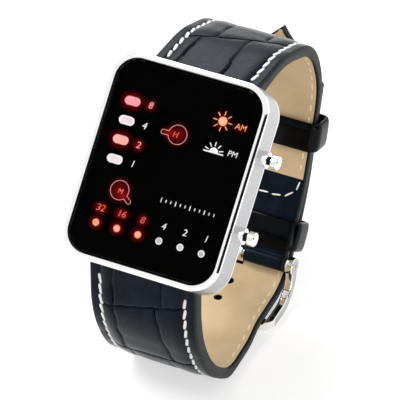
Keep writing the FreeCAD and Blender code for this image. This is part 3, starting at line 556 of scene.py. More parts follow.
def extrudeBy(bm, depth):
    # gives all faces a thickness along z and hands back the moved corners
    made = bmesh.ops.extrude_face_region(bm, geom=list(bm.faces))
    moved = [v for v in made["geom"] if isinstance(v, bmesh.types.BMVert)]
    bmesh.ops.translate(bm, verts=moved, vec=(0, 0, depth))
    return moved


def closeHoles(bm):
    bmesh.ops.holes_fill(bm, edges=[e for e in bm.edges if e.is_boundary], sides=0)


strapShape = {
    "halfWidth": 12.0, "buckleHalf": 11.0, "tailHalf": 10.9, "flat": 2.4, "padded": 4.0, "shoulder": 2.5,
    "crest": 3.1, "heel": 3.0, "toe": 2.7, "base": 2.7, "lift": 1.95,
    "frontBendHeight": 25.0, "frontBendRadius": 30.0, "heelStep": 6.4, "heelHeight": 10.2, "heelRadius": 30.0,
    "toeStep": 12.0, "toeRadius": 6.5, "baseLength": 11.2, "liftRadius": 9.0, "liftRun": 4.6,
    "underBuckleRadius": 7.0, "wrapRadius": 1.9, "wrapGap": 0.4, "layerGap": 0.15, "tailReach": 37.0,
    "tipLength": 10.8, "shoulderRun": 14.7, "shoulderRadius": 28.0, "crestStep": 14.6, "crestDrop": 6.7,
    "crestRadius": 15.5, "backStep": 5.3, "backDrop": 13.0, "backRadius": 17.0, "kneeStep": 7.6,
    "kneeRise": 12.6, "kneeRadius": 40.0, "bendSteps": 40,
}
flatT, paddedT = strapShape["flat"], strapShape["padded"]
tailOutside = 2 * flatT + strapShape["layerGap"]


def middleOf(node):
    low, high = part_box(node)
    return np.array([(low.y + high.y) / 2, (low.z + high.z) / 2]) / mm


def directionOf(a, b):
    step = np.subtract(b, a)
    return step / np.linalg.norm(step)


def outwardOf(direction):
    return np.array([direction[1], -direction[0]])


def turnOf(before, after):
    return math.atan2(before[0] * after[1] - before[1] * after[0], float(np.dot(before, after)))


def runsAlong(line):
    # how far along a line each of its points lies
    return np.concatenate([[0], np.cumsum(np.linalg.norm(np.diff(line, axis=0), axis=1))])


def touchPoint(outside, centre, radius):
    # where a line from a point touches a circle on its outward side
    away = directionOf(centre, outside)
    opening = math.acos(radius / np.linalg.norm(np.subtract(outside, centre)))
    heading = math.atan2(away[1], away[0]) - opening
    return np.array(centre) + radius * np.array([math.cos(heading), math.sin(heading)])


def movedCorners(corners, offsets):
    moved = []
    for i, corner in enumerate(corners):
        before = directionOf(corners[i - 1], corner) if i else directionOf(corner, corners[1])
        after = directionOf(corner, corners[i + 1]) if i < len(corners) - 1 else before
        side = directionOf((0, 0), outwardOf(before) + outwardOf(after))
        moved.append(np.array(corner) + side * offsets[i] / math.cos(turnOf(before, after) / 2))
    return moved


def sampledRun(corners, radii, offsets):
    # every straight and every bend has the same number of points, so two offsets match point by point
    steps = strapShape["bendSteps"]
    moved = movedCorners(corners, offsets)
    points = []
    start = moved[0]
    for i in range(1, len(moved) - 1):
        before = directionOf(moved[i - 1], moved[i])
        after = directionOf(moved[i], moved[i + 1])
        turn = turnOf(before, after)
        radius = radii[i - 1] + math.copysign(offsets[i], turn)
        reach = radius * math.tan(abs(turn) / 2)
        first = moved[i] - before * reach
        centre = first - outwardOf(before) * math.copysign(radius, turn)
        spoke = first - centre
        points += [start + (first - start) * k / steps for k in range(steps)]
        for k in range(steps):
            c, s = math.cos(turn * k / steps), math.sin(turn * k / steps)
            points.append(centre + np.array([spoke[0] * c - spoke[1] * s, spoke[0] * s + spoke[1] * c]))
        start = moved[i] + after * reach
    points += [start + (moved[-1] - start) * k / steps for k in range(steps + 1)]
    return np.array(points)


def strapLines(shape):
    # the corners of both straps, from the bars that hold them
    lugLow, lugHigh = middleOf("lower_bar_tube"), middleOf("upper_bar_tube")
    buckleBar = middleOf("buckle_bar_tube")
    wrap = shape["padded"] / 2
    front = lugLow[0] - wrap
    heel = (front + shape["heelStep"], shape["heelHeight"])
    toe = (heel[0] + shape["toeStep"], 0.0)
    baseEnd = (toe[0] + shape["baseLength"], 0.0)
    lifted = (baseEnd[0] + shape["liftRun"], shape["lift"])
    knee = (buckleBar[0] + shape["kneeStep"], buckleBar[1] + shape["kneeRise"])
    shoulderStart = (lugHigh[0], lugHigh[1] - wrap)
    shoulder = (shoulderStart[0] + shape["shoulderRun"], shoulderStart[1])
    crest = (shoulder[0] + shape["crestStep"], shoulder[1] - shape["crestDrop"])
    rear = (crest[0] + shape["backStep"], crest[1] - shape["backDrop"])
    backRun = directionOf(knee, rear)
    shortStart = touchPoint(knee, buckleBar, -flatT / 2)
    shortLine = [shortStart, knee, rear, crest, shoulder, shoulderStart]
    kneeOut = movedCorners(shortLine, [tailOutside] * 6)[1]
    tailTouch = touchPoint(kneeOut, buckleBar, shape["wrapRadius"] + shape["wrapGap"] + flatT)
    tailRun = directionOf(tailTouch, kneeOut)
    underBuckle = (tailTouch[0] - (tailTouch[1] - shape["lift"]) * tailRun[0] / tailRun[1], shape["lift"])
    tailEnd = kneeOut + backRun * shape["tailReach"]
    longLine = [(front, lugLow[1]), (front, shape["frontBendHeight"]), heel, toe, baseEnd, lifted,
                underBuckle, kneeOut, tailEnd]
    return {"long": longLine, "short": shortLine, "kneeOut": kneeOut, "tailTouch": tailTouch,
            "tailRun": tailRun, "backRun": backRun, "buckleBar": buckleBar, "knee": np.array(knee),
            "rear": np.array(rear), "crest": np.array(crest)}


class StrapFrame:
    # places in a strap: run along it, across it, and up from its lining
    def __init__(self, inner, outer, barStart, barEnd, width):
        self.outerRun = runsAlong(outer)
        self.inner, self.outer = inner, outer
        self.length = self.outerRun[-1]
        self.barStart, self.barEnd = barStart, barEnd
        self.width = width  # half of it, at a run

    def at(self, run):
        run = np.asarray(run, float)
        points = []
        for line in (self.inner, self.outer):
            y = np.interp(run, self.outerRun, line[:, 0])
            z = np.interp(run, self.outerRun, line[:, 1])
            # past its ends the strap runs straight on
            before, past = np.minimum(run, 0), np.maximum(run - self.length, 0)
            ends = ((before, directionOf(line[0], line[1])), (past, directionOf(line[-2], line[-1])))
            for over, way in ends:
                y = y + way[0] * over
                z = z + way[1] * over
            points.append(np.stack([y, z], -1))
        inner, outer = points
        thick = np.linalg.norm(outer - inner, axis=-1)
        return inner, (outer - inner) / thick[..., None], thick

    def bulge(self, run, thick):
        # how much thicker than the strap itself, round a bar; it closes to nothing past the bar
        share = np.ones_like(thick)
        for bar, way in ((self.barStart, 1), (self.barEnd, -1)):
            if bar is not None:
                place, radius = bar
                past = (run - place) * way
                circle = np.sqrt(np.clip(radius ** 2 - past ** 2, 0, None)) / (thick / 2)
                share = np.where(past < 0, circle, np.maximum(share, circle))
        return share

    def point(self, run, x, height):
        # millimetres; height is measured from the lining outwards
        inner, normal, thick = self.at(run)
        share = self.bulge(np.asarray(run, float), thick)
        level = thick / 2 + (height - thick / 2) * share
        place = inner + normal * level[..., None]
        return np.stack([np.broadcast_to(x, place[..., 0].shape), place[..., 0], place[..., 1]], -1)


lines = strapLines(strapShape)
longThick = [paddedT, paddedT, strapShape["heel"], strapShape["toe"], strapShape["base"]] + [flatT] * 4
longBends = ("frontBendRadius", "heelRadius", "toeRadius", "liftRadius", "liftRadius")
longRadii = [strapShape[bend] for bend in longBends]
longRadii += [strapShape["underBuckleRadius"] + flatT, strapShape["kneeRadius"] + tailOutside]
shortThick = [flatT, flatT, flatT, strapShape["crest"], strapShape["shoulder"], paddedT]
shortRadii = [strapShape[bend] for bend in ("kneeRadius", "backRadius", "crestRadius", "shoulderRadius")]
longOuter = sampledRun(lines["long"], longRadii, [0.0] * 9)
longInner = sampledRun(lines["long"], longRadii, [-t for t in longThick])
shortInner = sampledRun(lines["short"], shortRadii, [0.0] * 6)
shortOuter = sampledRun(lines["short"], shortRadii, shortThick)
longLength, shortLength = runsAlong(longOuter)[-1], runsAlong(shortOuter)[-1]


def runAt(line, place):
    # the run of the sampled point nearest to a place
    return runsAlong(line)[np.argmin(np.linalg.norm(line - np.array(place), axis=1))]


taperStart, taperEnd = runAt(longOuter, lines["long"][2]), runAt(longOuter, lines["tailTouch"])
crestRun = runAt(shortOuter, lines["crest"])


def longHalf(run):
    wide = np.interp(run, [taperStart, taperEnd], [strapShape["halfWidth"], strapShape["tailHalf"]])
    return wide * np.clip((longLength - np.asarray(run, float)) / strapShape["tipLength"], 0, 1)


def shortHalf(run):
    return np.interp(run, [0, crestRun], [strapShape["buckleHalf"], strapShape["halfWidth"]])


longStrap = StrapFrame(longInner, longOuter, (0.0, paddedT / 2), None, longHalf)
shortStrap = StrapFrame(shortInner, shortOuter, (0.0, strapShape["wrapRadius"]), (shortLength, paddedT / 2),
                        shortHalf)
print("strap lengths", round(longLength, 1), round(shortLength, 1))

# each row is a crease across the strap: its run in the middle, its lean, its sag, and where the two
# lengthwise creases that follow it start and end across the strap
crocodile = {
    "long": ((-6.0, 0.0, 0.0, (-6.6, -6.6), (4.6, 4.5)), (9.54, -0.29, 0.1, (-6.5, -6.2), (2.8, 5.0)),
             (27.5, -0.06, 0.4, (-5.4, -5.9), (3.2, 4.4)), (44.0, 0.10, -0.5, (-6.0, -5.2), (4.6, 3.6)),
             (60.5, -0.12, 0.5, (-5.0, -5.6), (4.2, 4.8)), (76.0, 0.06, -0.4, (-5.8, -4.8), (3.4, 4.2)),
             (91.5, -0.08, 0.3, (-4.6, -5.4), (4.4, 3.4)), (107.0, 0.10, -0.4, (-5.2, -4.4), (3.8, 4.6)),
             (122.5, -0.05, 0.3, (-4.2, -3.6), (3.2, 2.6)), (139.0, 0.0, 0.0, (-4.0, -4.0), (3.0, 3.0))),
    "short": ((-6.0, 0.0, 0.0, (-4.8, -4.2), (4.0, 4.6)), (9.5, 0.08, 0.4, (-4.6, -5.4), (4.4, 3.6)),
              (25.0, -0.10, -0.5, (-5.6, -4.8), (3.8, 4.6)), (40.5, 0.06, 0.4, (-5.0, -5.8), (4.6, 3.8)),
              (56.0, -0.16, -0.4, (-4.9, -4.2), (4.4, 5.0)), (72.0, -0.53, 0.3, (-6.5, -7.0), (2.5, 3.5)),
              (90.0, -0.10, 0.0, (-6.5, -7.0), (3.4, 3.4)), (106.0, 0.0, 0.0, (-6.5, -7.0), (3.4, 3.4))),
    "groove": 0.21, "depth": 0.42, "pillow": 0.20, "pillowReach": 1.3, "shallowest": 0.40, "farthest": 9.0,
    "wave": 0.10, "waveRate": 1.7, "faint": 0.35, "faintRate": 0.5, "faintStep": 2.1, "sideWave": 0.12,
    "sideWaveRate": 0.9,
}


def scalePattern(run, x, rows, look):
    # distance in millimetres to the nearest crease between the big square scales, and how deep that one is
    width = 2 * strapShape["halfWidth"]
    middle = [row + lean * x + sag * np.cos(x * math.pi / width) for row, lean, sag, _, _ in rows]
    distance = np.full(run.shape, look["farthest"])
    depth = np.ones(run.shape)

    def add(gap, strength, where=True):
        nonlocal distance, depth
        nearer = where & (gap < distance)
        distance, depth = np.where(nearer, gap, distance), np.where(nearer, strength, depth)

    for i, curve in enumerate(middle):
        faint = look["faint"] * np.sin(look["faintRate"] * x + look["faintStep"] * i) ** 2
        add(np.abs(run - curve - look["wave"] * np.sin(look["waveRate"] * x + i)), 1.0 - faint)
    for i, (low, high) in enumerate(zip(middle[:-1], middle[1:])):
        inside = (run > low) & (run < high)
        share = (run - low) / (high - low)
        for k, (start, end) in enumerate(rows[i][3:]):
            edge = start + (end - start) * share + look["sideWave"] * np.sin(look["sideWaveRate"] * run + k)
            fading = np.cos(math.pi * share + i + 2 * k) ** 2
            add(np.abs(x - edge), look["shallowest"] + (1 - look["shallowest"]) * fading, inside)
    return distance, depth


def sectionLoop(outerSteps, innerSteps, roundOuter, roundInner, arcSteps):
    # one turn round a strap's section; each point has its share of the half width, the radius of its
    # corner, how far it is out from there, whether it is on the outer side, and how far it has dropped
    angles = [math.radians(90 * k / arcSteps) for k in range(1, arcSteps + 1)]
    turns = [(roundOuter, True, a) for a in angles] + [(roundInner, False, a) for a in reversed(angles)]
    side = [(r, r * math.sin(a), onTop, r * (1 - math.cos(a))) for r, onTop, a in turns]
    loop = [(-1 + 2 * k / outerSteps, roundOuter, 0.0, True, 0.0) for k in range(outerSteps + 1)]
    loop += [(1, *mark) for mark in side]
    loop += [(1 - 2 * k / innerSteps, roundInner, 0.0, False, 0.0) for k in range(innerSteps + 1)]
    return np.array(loop + [(-1, *mark) for mark in reversed(side)], float)


coverShape = {"roundOuter": 0.7, "roundInner": 0.45, "rim": 2.25, "rimGain": 0.72, "padStart": 2.5,
              "padEnd": 5.0, "stitchInset": 2.45, "stitchTrough": 0.24, "stitchTroughWidth": 0.42,
              "liningRecess": 0.08, "reliefFade": 0.8, "tipCorner": 0.45, "step": 0.25, "innerSteps": 14,
              "arcSteps": 4, "noseStart": 0.03, "noseSteps": 9}


def coverHeight(x, half, thick, shape):
    # the padded strap's outer face, from its thin rim over the filled middle
    inset = half - np.abs(x)
    rim = np.minimum(shape["rim"] + shape["rimGain"] * (thick - flatT), thick)
    share = np.clip((inset - shape["padStart"]) / (shape["padEnd"] - shape["padStart"]), 0, 1)
    raised = rim + (thick - rim) * np.sin(share * math.pi / 2)
    trough = np.exp(-((inset - shape["stitchInset"]) / shape["stitchTroughWidth"]) ** 2)
    return raised - shape["stitchTrough"] * trough


def runSteps(strap, end, shape):
    # even steps, closer together where the strap rounds a bar
    runs = list(np.linspace(0.0, end, round(end / shape["step"]) + 1))
    for bar, way in ((strap.barStart, 1), (strap.barEnd, -1)):
        if bar is not None:
            place, radius = bar
            angles = np.linspace(shape["noseStart"], math.pi / 2, shape["noseSteps"], endpoint=False)
            nose = [place - way * radius * math.cos(a) for a in angles]
            runs = nose + runs if way == 1 else runs + nose[::-1]
    return np.array(runs)


def stripMesh(runs, loop, placeOf, paintedEdge=False):
    # a grid with one row per run and one column per point of the section, wrapped round and closed
    bm = bmesh.new()
    # this layer carries how deep each crease is, which the leather turns into painted shade
    creaseLayer = bm.verts.layers.float.new("creaseShade")
    count = len(loop)
    bmesh.ops.create_grid(bm, x_segments=len(runs) - 1, y_segments=count, size=1)
    columns = np.array([round((v.co.y + 1) / 2 * count) for v in bm.verts])
    rows = np.array([round((v.co.x + 1) / 2 * (len(runs) - 1)) for v in bm.verts])
    places, creases = placeOf(runs[rows], loop[columns % count])
    if paintedEdge:
        for face in bm.faces:
            onEdge = [loop[round((v.co.y + 1) / 2 * count) % count][2] > 0 for v in face.verts]
            face.material_index = 1 if all(onEdge) else 0
    for vert, place, creaseShade in zip(bm.verts, places, creases):
        vert.co = Vector(place) * mm
        vert[creaseLayer] = creaseShade
    bmesh.ops.remove_doubles(bm, verts=bm.verts, dist=weldGap)
    closeHoles(bm)
    return bm


def strapCover(strap, end, shape, look, rows):
    outerSteps = round(2 * strapShape["halfWidth"] / shape["step"])
    loop = sectionLoop(outerSteps, shape["innerSteps"], shape["roundOuter"], shape["roundInner"],
                       shape["arcSteps"])

    def placeOf(run, marks):
        share, rounding, out, onTop, drop = marks.T
        half = strap.width(run)
        corner = np.minimum(rounding, shape["tipCorner"] * half)
        scale = np.where(corner > 0, corner / rounding, 1)
        x = share * (half - corner) + np.sign(share) * out * scale
        top = coverHeight(np.clip(x, corner - half, half - corner), half, strap.at(run)[2], shape)
        away, deep = scalePattern(run, x, rows, look)
        fade = np.clip((half - np.abs(x) - shape["stitchInset"]) / shape["reliefFade"], 0, 1)
        groove = np.exp(-(away / look["groove"]) ** 2) * deep
        relief = -(look["pillow"] * np.exp(-away / look["pillowReach"]) + look["depth"] * groove) * fade
        fall = drop * scale
        height = np.where(onTop > 0, top - fall + relief * (drop == 0), shape["liningRecess"] + fall)
        return strap.point(run, x, height), groove * fade * (onTop > 0)

    return stripMesh(runSteps(strap, end, shape), loop, placeOf, paintedEdge=True)


liningShape = {"inset": 0.6, "thickness": 0.4, "narrowest": 0.3, "edge": 0.1, "step": 0.8, "acrossSteps": 20,
               "arcSteps": 2, "lugEnd": 3.4, "tailEnd": 0.5, "buckleEnd": 19.6, "threadInset": 1.5,
               "threadHeight": -0.02}


def strapLining(strap, start, end, shape):
    loop = sectionLoop(shape["acrossSteps"], shape["acrossSteps"], shape["edge"], shape["edge"],
                       shape["arcSteps"])

    def placeOf(run, marks):
        share, corner, out, onTop, drop = marks.T
        half = np.maximum(strap.width(run) - shape["inset"], shape["narrowest"])
        x = share * (half - corner) + np.sign(share) * out
        height = np.where(onTop > 0, shape["thickness"] - drop, drop)
        return strap.point(run, x, height), np.zeros(len(run))

    return stripMesh(np.linspace(start, end, round((end - start) / shape["step"]) + 1), loop, placeOf)


stitchShape = {"length": 2.70, "width": 0.76, "height": 0.44, "pitch": 2.8, "slant": 11, "blunt": 0.44,
               "rise": 0.07, "uneven": 0.04}
flapStitch = {"length": 2.3, "width": 0.40, "height": 0.24, "pitch": 3.0, "slant": 2, "blunt": 0.6,
              "rise": 0.05, "uneven": 0.12}
liningStitch = {"length": 1.7, "width": 0.42, "height": 0.26, "pitch": 2.8, "slant": 4, "blunt": 0.7,
                "rise": 0.05, "uneven": 0.10}
stitchSway = 2  # degrees
stitchRound = {"u_segments": 8, "v_segments": 7}
stitchProbe = {"step": 0.25, "along": 0.5, "up": 0.2}
stitchDice = random.Random(5)


def addStitch(bm, place, along, up, shape, slant):
    # a short length of thread with blunt ends, no two quite alike
    lean = math.radians(slant + stitchDice.uniform(-stitchSway, stitchSway))
    side = along.cross(up).normalized()
    along = (along + side * math.tan(lean)).normalized()
    side = along.cross(up).normalized()
    turn = Matrix((side, up, along)).transposed().to_4x4()
    uneven = 1 + stitchDice.uniform(-1, 1) * shape["uneven"]
    wide, high, long = shape["width"] / 2 * mm, shape["height"] / 2 * mm, shape["length"] / 2 * uneven * mm
    size = Matrix.Diagonal((wide, high, long, 1))
    made = bmesh.ops.create_uvsphere(bm, **stitchRound, radius=1)
    for vert in made["verts"]:
        vert.co.z = math.copysign(abs(vert.co.z) ** shape["blunt"], vert.co.z)
    bmesh.ops.transform(bm, verts=made["verts"], matrix=Matrix.Translation(place * mm) @ turn @ size)


def stitchAlong(bm, strap, runs, across, heights, shape, slant):
    # stitches of even pitch along a line given by its runs, its places across and its heights
    line = strap.point(runs, across, heights)
    above = strap.point(runs, across, heights + stitchProbe["up"])
    way = runsAlong(line)

    def placeAt(points, distance):
        return Vector([np.interp(distance, way, points[:, k]) for k in range(3)])

    reach = stitchProbe["along"]
    for middle in np.arange(shape["pitch"] / 2, way[-1], shape["pitch"]):
        here = placeAt(line, middle)
        along = (placeAt(line, middle + reach) - placeAt(line, middle - reach)).normalized()
        up = (placeAt(above, middle) - here).normalized()
        addStitch(bm, here + up * shape["rise"], along, up, shape, slant)


def sideStitches(bm, strap, start, end, shape, onLining=False):
    runs = np.arange(start, end, stitchProbe["step"])
    half = strap.width(runs)
    for side in (-1, 1):
        if onLining:
            across = side * (half - liningShape["threadInset"])
            heights = np.full(runs.shape, liningShape["threadHeight"])
        else:
            across = side * (half - coverShape["stitchInset"])
            heights = coverHeight(across, half, strap.at(runs)[2], coverShape)
        stitchAlong(bm, strap, runs, across, heights, shape, side * shape["slant"])


# the line that holds the turned-back flap: up one edge, across, and up the other
flapLine = {"run": (19.4, 18.6, 17.4, 16.0, 14.8, 14.4, 14.4),
            "across": (10.25, 10.1, 9.8, 9.0, 7.4, 5.0, 0.0), "height": 0.05, "samples": 200}


def flapStitches(bm, strap, line, shape):
    runs = np.array(line["run"] + line["run"][-2::-1])
    across = np.array(line["across"] + tuple(-x for x in line["across"][-2::-1]))
    steps = np.arange(len(runs))
    fine = np.linspace(0, len(runs) - 1, line["samples"])
    stitchAlong(bm, strap, np.interp(fine, steps, runs), np.interp(fine, steps, across),
                np.full(line["samples"], line["height"]), shape, shape["slant"])


holeShape = {"radius": 0.95, "pitch": 6.0, "before": 2, "after": 4, "bottom": -1, "top": 6, "slot": 3.0,
             "slotHalf": 1.1, "slotBack": 0.75, "slotMiddle": 3.5, "slotDepth": 9, "past": 0.1}


def holeCutters(shape):
    bm = bmesh.new()
    slotCentre = lines["buckleBar"][0] + shape["slotBack"]
    for i in range(shape["before"]):
        y = slotCentre - (i + 1) * shape["pitch"]
        addCylinder(bm, (0, y, shape["bottom"]), (0, y, shape["top"]), shape["radius"])
    straight = np.linalg.norm(lines["kneeOut"] - lines["tailTouch"])
    for i in range(shape["after"]):
        run = shape["slot"] / 2 + (i + 0.5) * shape["pitch"]
        if run < straight:
            place, way = lines["tailTouch"] + lines["tailRun"] * run, lines["tailRun"]
        else:
            place, way = lines["kneeOut"] + lines["backRun"] * (run - straight), lines["backRun"]
        out = outwardOf(way)
        addCylinder(bm, (0, *(place + out)), (0, *(place - out * (flatT + shape["past"]))), shape["radius"])
    place = Matrix.Translation(Vector((0, slotCentre, shape["slotMiddle"])) * mm)
    size = Matrix.Diagonal((2 * shape["slotHalf"] * mm, shape["slot"] * mm, shape["slotDepth"] * mm, 1))
    bmesh.ops.create_cube(bm, size=1, matrix=place @ size)
    return bm


def barCutter(node, radius, half):
    bm = bmesh.new()
    y, z = middleOf(node)
    addCylinder(bm, (-half, y, z), (half, y, z), radius)
    return bm


def makeCover(name, strap, end, rows):
    return finishPiece(name + "_outer", strapCover(strap, end, coverShape, crocodile, rows),
                       [strapLeather, edgePaint], "root",
                       [name + "_cover", name + "_padding"], sharpAt=55)


def makeStrapLining(name, strap, start, end):
    return finishPiece(name + "_inner", strapLining(strap, start, end, liningShape), [liningLeather], "root",
                       [name + "_lining"])


barHoles = {"bore": 0.95, "buckleBore": 0.85, "mouthHalf": 1.55, "mouthRadius": 2.9, "past": 14}
tipClose = 0.12
longCover = makeCover("long_strap", longStrap, longLength - tipClose, crocodile["long"])
cutWith(longCover, holeCutters(holeShape))
cutWith(longCover, barCutter("lower_bar_tube", barHoles["bore"], barHoles["past"]))
longLining = makeStrapLining("long_strap", longStrap, liningShape["lugEnd"],
                             longLength - liningShape["tailEnd"])
cutWith(longLining, holeCutters(holeShape))
print("long strap made")

shortCover = makeCover("short_strap", shortStrap, shortLength, crocodile["short"])
cutWith(shortCover, barCutter("upper_bar_tube", barHoles["bore"], barHoles["past"]))
cutWith(shortCover, barCutter("buckle_bar_tube", barHoles["buckleBore"], barHoles["past"]))
cutWith(shortCover, barCutter("buckle_bar_tube", barHoles["mouthRadius"], barHoles["mouthHalf"]))
makeStrapLining("short_strap", shortStrap, liningShape["buckleEnd"], shortLength - liningShape["lugEnd"])
print("short strap made")

threadEnds = {"lug": 4.2, "liningLug": 6.2, "tail": strapShape["tipLength"] + 1.0, "buckle": 21.0, "top": 5.0}
bm = bmesh.new()
sideStitches(bm, longStrap, threadEnds["lug"], longLength - threadEnds["tail"], stitchShape)
finishPiece("long_strap_thread", bm, [whiteThread], "root")
bm = bmesh.new()
sideStitches(bm, shortStrap, threadEnds["buckle"], shortLength - threadEnds["top"], stitchShape)
flapStitches(bm, shortStrap, flapLine, flapStitch)
finishPiece("short_strap_thread", bm, [whiteThread], "root")
bm = bmesh.new()
sideStitches(bm, longStrap, threadEnds["liningLug"], longLength - threadEnds["tail"], liningStitch, True)
sideStitches(bm, shortStrap, threadEnds["buckle"], shortLength - threadEnds["top"], liningStitch, True)
finishPiece("lining_thread", bm, [creamThread], "root")
print("stitches made")

# the powers flatten or round the section's ends, its two faces and the loop's corners
keeperShape = {"width": 6.6, "wall": 1.25, "corner": 2.5, "groove": 0.6, "grooveDepth": 0.4, "gap": 0.3,
               "sideGap": 0.45, "belowBend": 5.3, "belowKnee": 8.4, "fixedGap": 0.05, "fixedSideGap": 0.44,
               "acrossSteps": 26, "roundSteps": 120, "endPower": 0.55, "outerPower": 0.8, "innerPower": 0.4,
               "cornerPower": 0.9}


def rounded(value, power):
    return math.copysign(abs(value) ** power, value)


def keeperMesh(centre, run, halfOpening, innerGap, opening, shape):
    # a round-cornered loop: one way goes round the straps, the other round its own flat section
    bm = bmesh.new()
    creaseLayer = bm.verts.layers.float.new("creaseShade")
    bmesh.ops.create_grid(bm, x_segments=shape["roundSteps"], y_segments=shape["acrossSteps"], size=1)
    halfHeight, middle = opening / 2, opening / 2 - innerGap
    innerCorner = shape["corner"] - shape["wall"]
    out, along = outwardOf(run), np.array(run)
    for vert in bm.verts:
        around = (vert.co.x + 1) / 2 * 2 * math.pi + math.pi / shape["roundSteps"]
        turn = (vert.co.y + 1) / 2 * 2 * math.pi
        # the section: a flat oblong with rounded ends, wider than it is thick
        wide, thick = math.cos(turn), math.sin(turn)
        reach = rounded(wide, shape["endPower"]) * shape["width"] / 2
        facePower = shape["outerPower"] if thick > 0 else shape["innerPower"]
        level = shape["wall"] / 2 * (1 + rounded(thick, facePower))
        dip = math.exp(-(reach / (shape["groove"] / 2)) ** 2) if thick > 0 else 0.0
        level -= shape["grooveDepth"] * dip
        # the loop: quarter circles joined by the flats
        c, s = math.cos(around), math.sin(around)
        corner = innerCorner + level
        x = math.copysign(halfOpening - innerCorner, c) + corner * rounded(c, shape["cornerPower"])
        h = math.copysign(halfHeight - innerCorner, s) + corner * rounded(s, shape["cornerPower"]) + middle
        place = np.array(centre) + along * reach + out * h
        vert.co = Vector((x, place[0], place[1])) * mm
        vert[creaseLayer] = dip
    bmesh.ops.remove_doubles(bm, verts=bm.verts, dist=weldGap)
    return bm


def keeperPlaces(shape):
    backRun, rear, knee = lines["backRun"], lines["rear"], lines["knee"]
    turn = abs(turnOf(backRun, directionOf(rear, lines["crest"])))
    centre = rear - backRun * (strapShape["backRadius"] * math.tan(turn / 2) + shape["belowBend"])
    bar = lines["buckleBar"]
    share = (centre[1] - bar[1]) / (lines["crest"][1] - bar[1])
    half = strapShape["buckleHalf"] + (strapShape["halfWidth"] - strapShape["buckleHalf"]) * share
    free = (centre, backRun, half + shape["sideGap"], shape["gap"], tailOutside + 2 * shape["gap"])
    shortRun = directionOf(lines["short"][0], knee)
    centre = knee - shortRun * shape["belowKnee"]
    low = centre - shortRun * shape["width"] / 2
    spread = float(np.dot(lines["tailTouch"] - low, outwardOf(lines["tailRun"])))
    fixed = (centre, shortRun, strapShape["buckleHalf"] + shape["fixedSideGap"], shape["fixedGap"],
             spread + shape["fixedGap"] + shape["gap"])
    return free, fixed


freePlace, fixedPlace = keeperPlaces(keeperShape)
for keeper, place, body in (("free_keeper", freePlace, "free_keeper"), ("fixed_keeper", fixedPlace, "root")):
    finishPiece(keeper + "_loop", keeperMesh(*place, keeperShape), [keeperLeather], body,
                [keeper], sharpAt=50)
print("keepers made")


def headPiece(name, bm, materials, replaced=(), sharpAt=40):
    bm.transform(headFrame)
    finishPiece(name, bm, materials, "root", replaced, sharpAt)


lensShape = {"halfX": 16.35, "halfY": 20.65, "corner": 4.85, "top": -0.15, "bottom": -1.55, "bevel": 0.3,
             "cornerSteps": 12, "bevelSteps": 3}


def lensMesh(shape):
    # a circle pulled apart into a rounded rectangle, then given its thickness and its bevel
    bm = bmesh.new()
    segments = 4 * shape["cornerSteps"]
    bmesh.ops.create_circle(bm, cap_ends=True, segments=segments, radius=shape["corner"],
                            matrix=Matrix.Rotation(math.pi / segments, 4, "Z"))
    for vert in bm.verts:
        vert.co.x += math.copysign(shape["halfX"] - shape["corner"], vert.co.x)
        vert.co.y += math.copysign(shape["halfY"] - shape["corner"], vert.co.y)
        vert.co.z = shape["top"]
    extrudeBy(bm, shape["bottom"] - shape["top"])
    rim = [e for e in bm.edges if all(abs(v.co.z - shape["top"]) < 1e-6 for v in e.verts)]
    bmesh.ops.bevel(bm, geom=rim, offset=shape["bevel"], segments=shape["bevelSteps"], affect="EDGES",
                    profile=0.5, material=-1)
    return bm


headPiece("dial_glass", lensMesh(lensShape), [makeGlass(glassLook)], ["lens"], sharpAt=25)

# the marks' colours: two shades that drift into one another, and how brightly they glow; the glow of the
# prints, the rims and the unlit windows is painted light
markColours = {
    "lit_pink": ((0.93, 0.31, 0.36), (0.96, 0.36, 0.40), 1.0),
    "lit_salmon": ((0.97, 0.40, 0.34), (0.98, 0.46, 0.40), 1.0),
    "unlit_blush": ((0.84, 0.69, 0.72), (0.90, 0.78, 0.80), 1.0),
    "window_rim": ((0.94, 0.93, 0.93), (1.0, 0.99, 0.99), 1.0),
    "lit_orange": ((0.95, 0.34, 0.18), (0.98, 0.28, 0.16), 1.0),
    "lit_amber": ((0.95, 0.48, 0.27), (0.98, 0.38, 0.22), 1.0),
    "unlit_pearl": ((0.46, 0.46, 0.48), (0.62, 0.62, 0.63), 1.0),
    "print_white": ((0.78, 0.78, 0.78), (0.92, 0.92, 0.92), 1.0),
    "print_rose": ((0.90, 0.34, 0.34), (0.85, 0.45, 0.46), 0.9),
    "print_red": ((0.80, 0.08, 0.06), (0.90, 0.20, 0.14), 0.9),
    "print_flame": ((0.98, 0.32, 0.10), (0.99, 0.42, 0.18), 1.0),
    "print_sunlight": ((1.0, 0.56, 0.29), (1.0, 0.48, 0.22), 1.0),
}
marks = {name.split("_")[1]: makeGlowing(name, *values) for name, values in markColours.items()}

display = {
    "top": -1.70, "bottom": -1.90, "dome": 0.08, "rimShare": 0.14, "windowSteps": 40,
    "hourX": -11.65, "hourTop": 11.85, "hourPitch": 4.1, "hourLength": 3.4, "hourWidth": 1.78,
    "hourNumberX": -7.6, "hourNumberY": (11.97, 7.62, 3.54, -0.46), "numberSize": 2.0, "numberLean": 0.15,
    "hours": (("8", "pink", "rose"), ("4", "blush", "white"), ("2", "salmon", "rose"),
              ("1", "blush", "white")),
    "minuteX": -11.5, "minutePitch": 4.72, "minuteY": -13.85, "minuteRadius": 0.72, "minuteNumberY": -10.8,
    "minuteNumberShift": 0.1,
    "minutes": (("32", "orange", "red"), ("16", "amber", "red"), ("8", "amber", "red"),
                ("4", "pearl", "white"), ("2", "pearl", "white"), ("1", "pearl", "white")),
}
inkPrint = {"top": -1.66, "depth": 0.03, "letterHalf": 0.015, "letterSteps": 4, "dashSteps": 16}


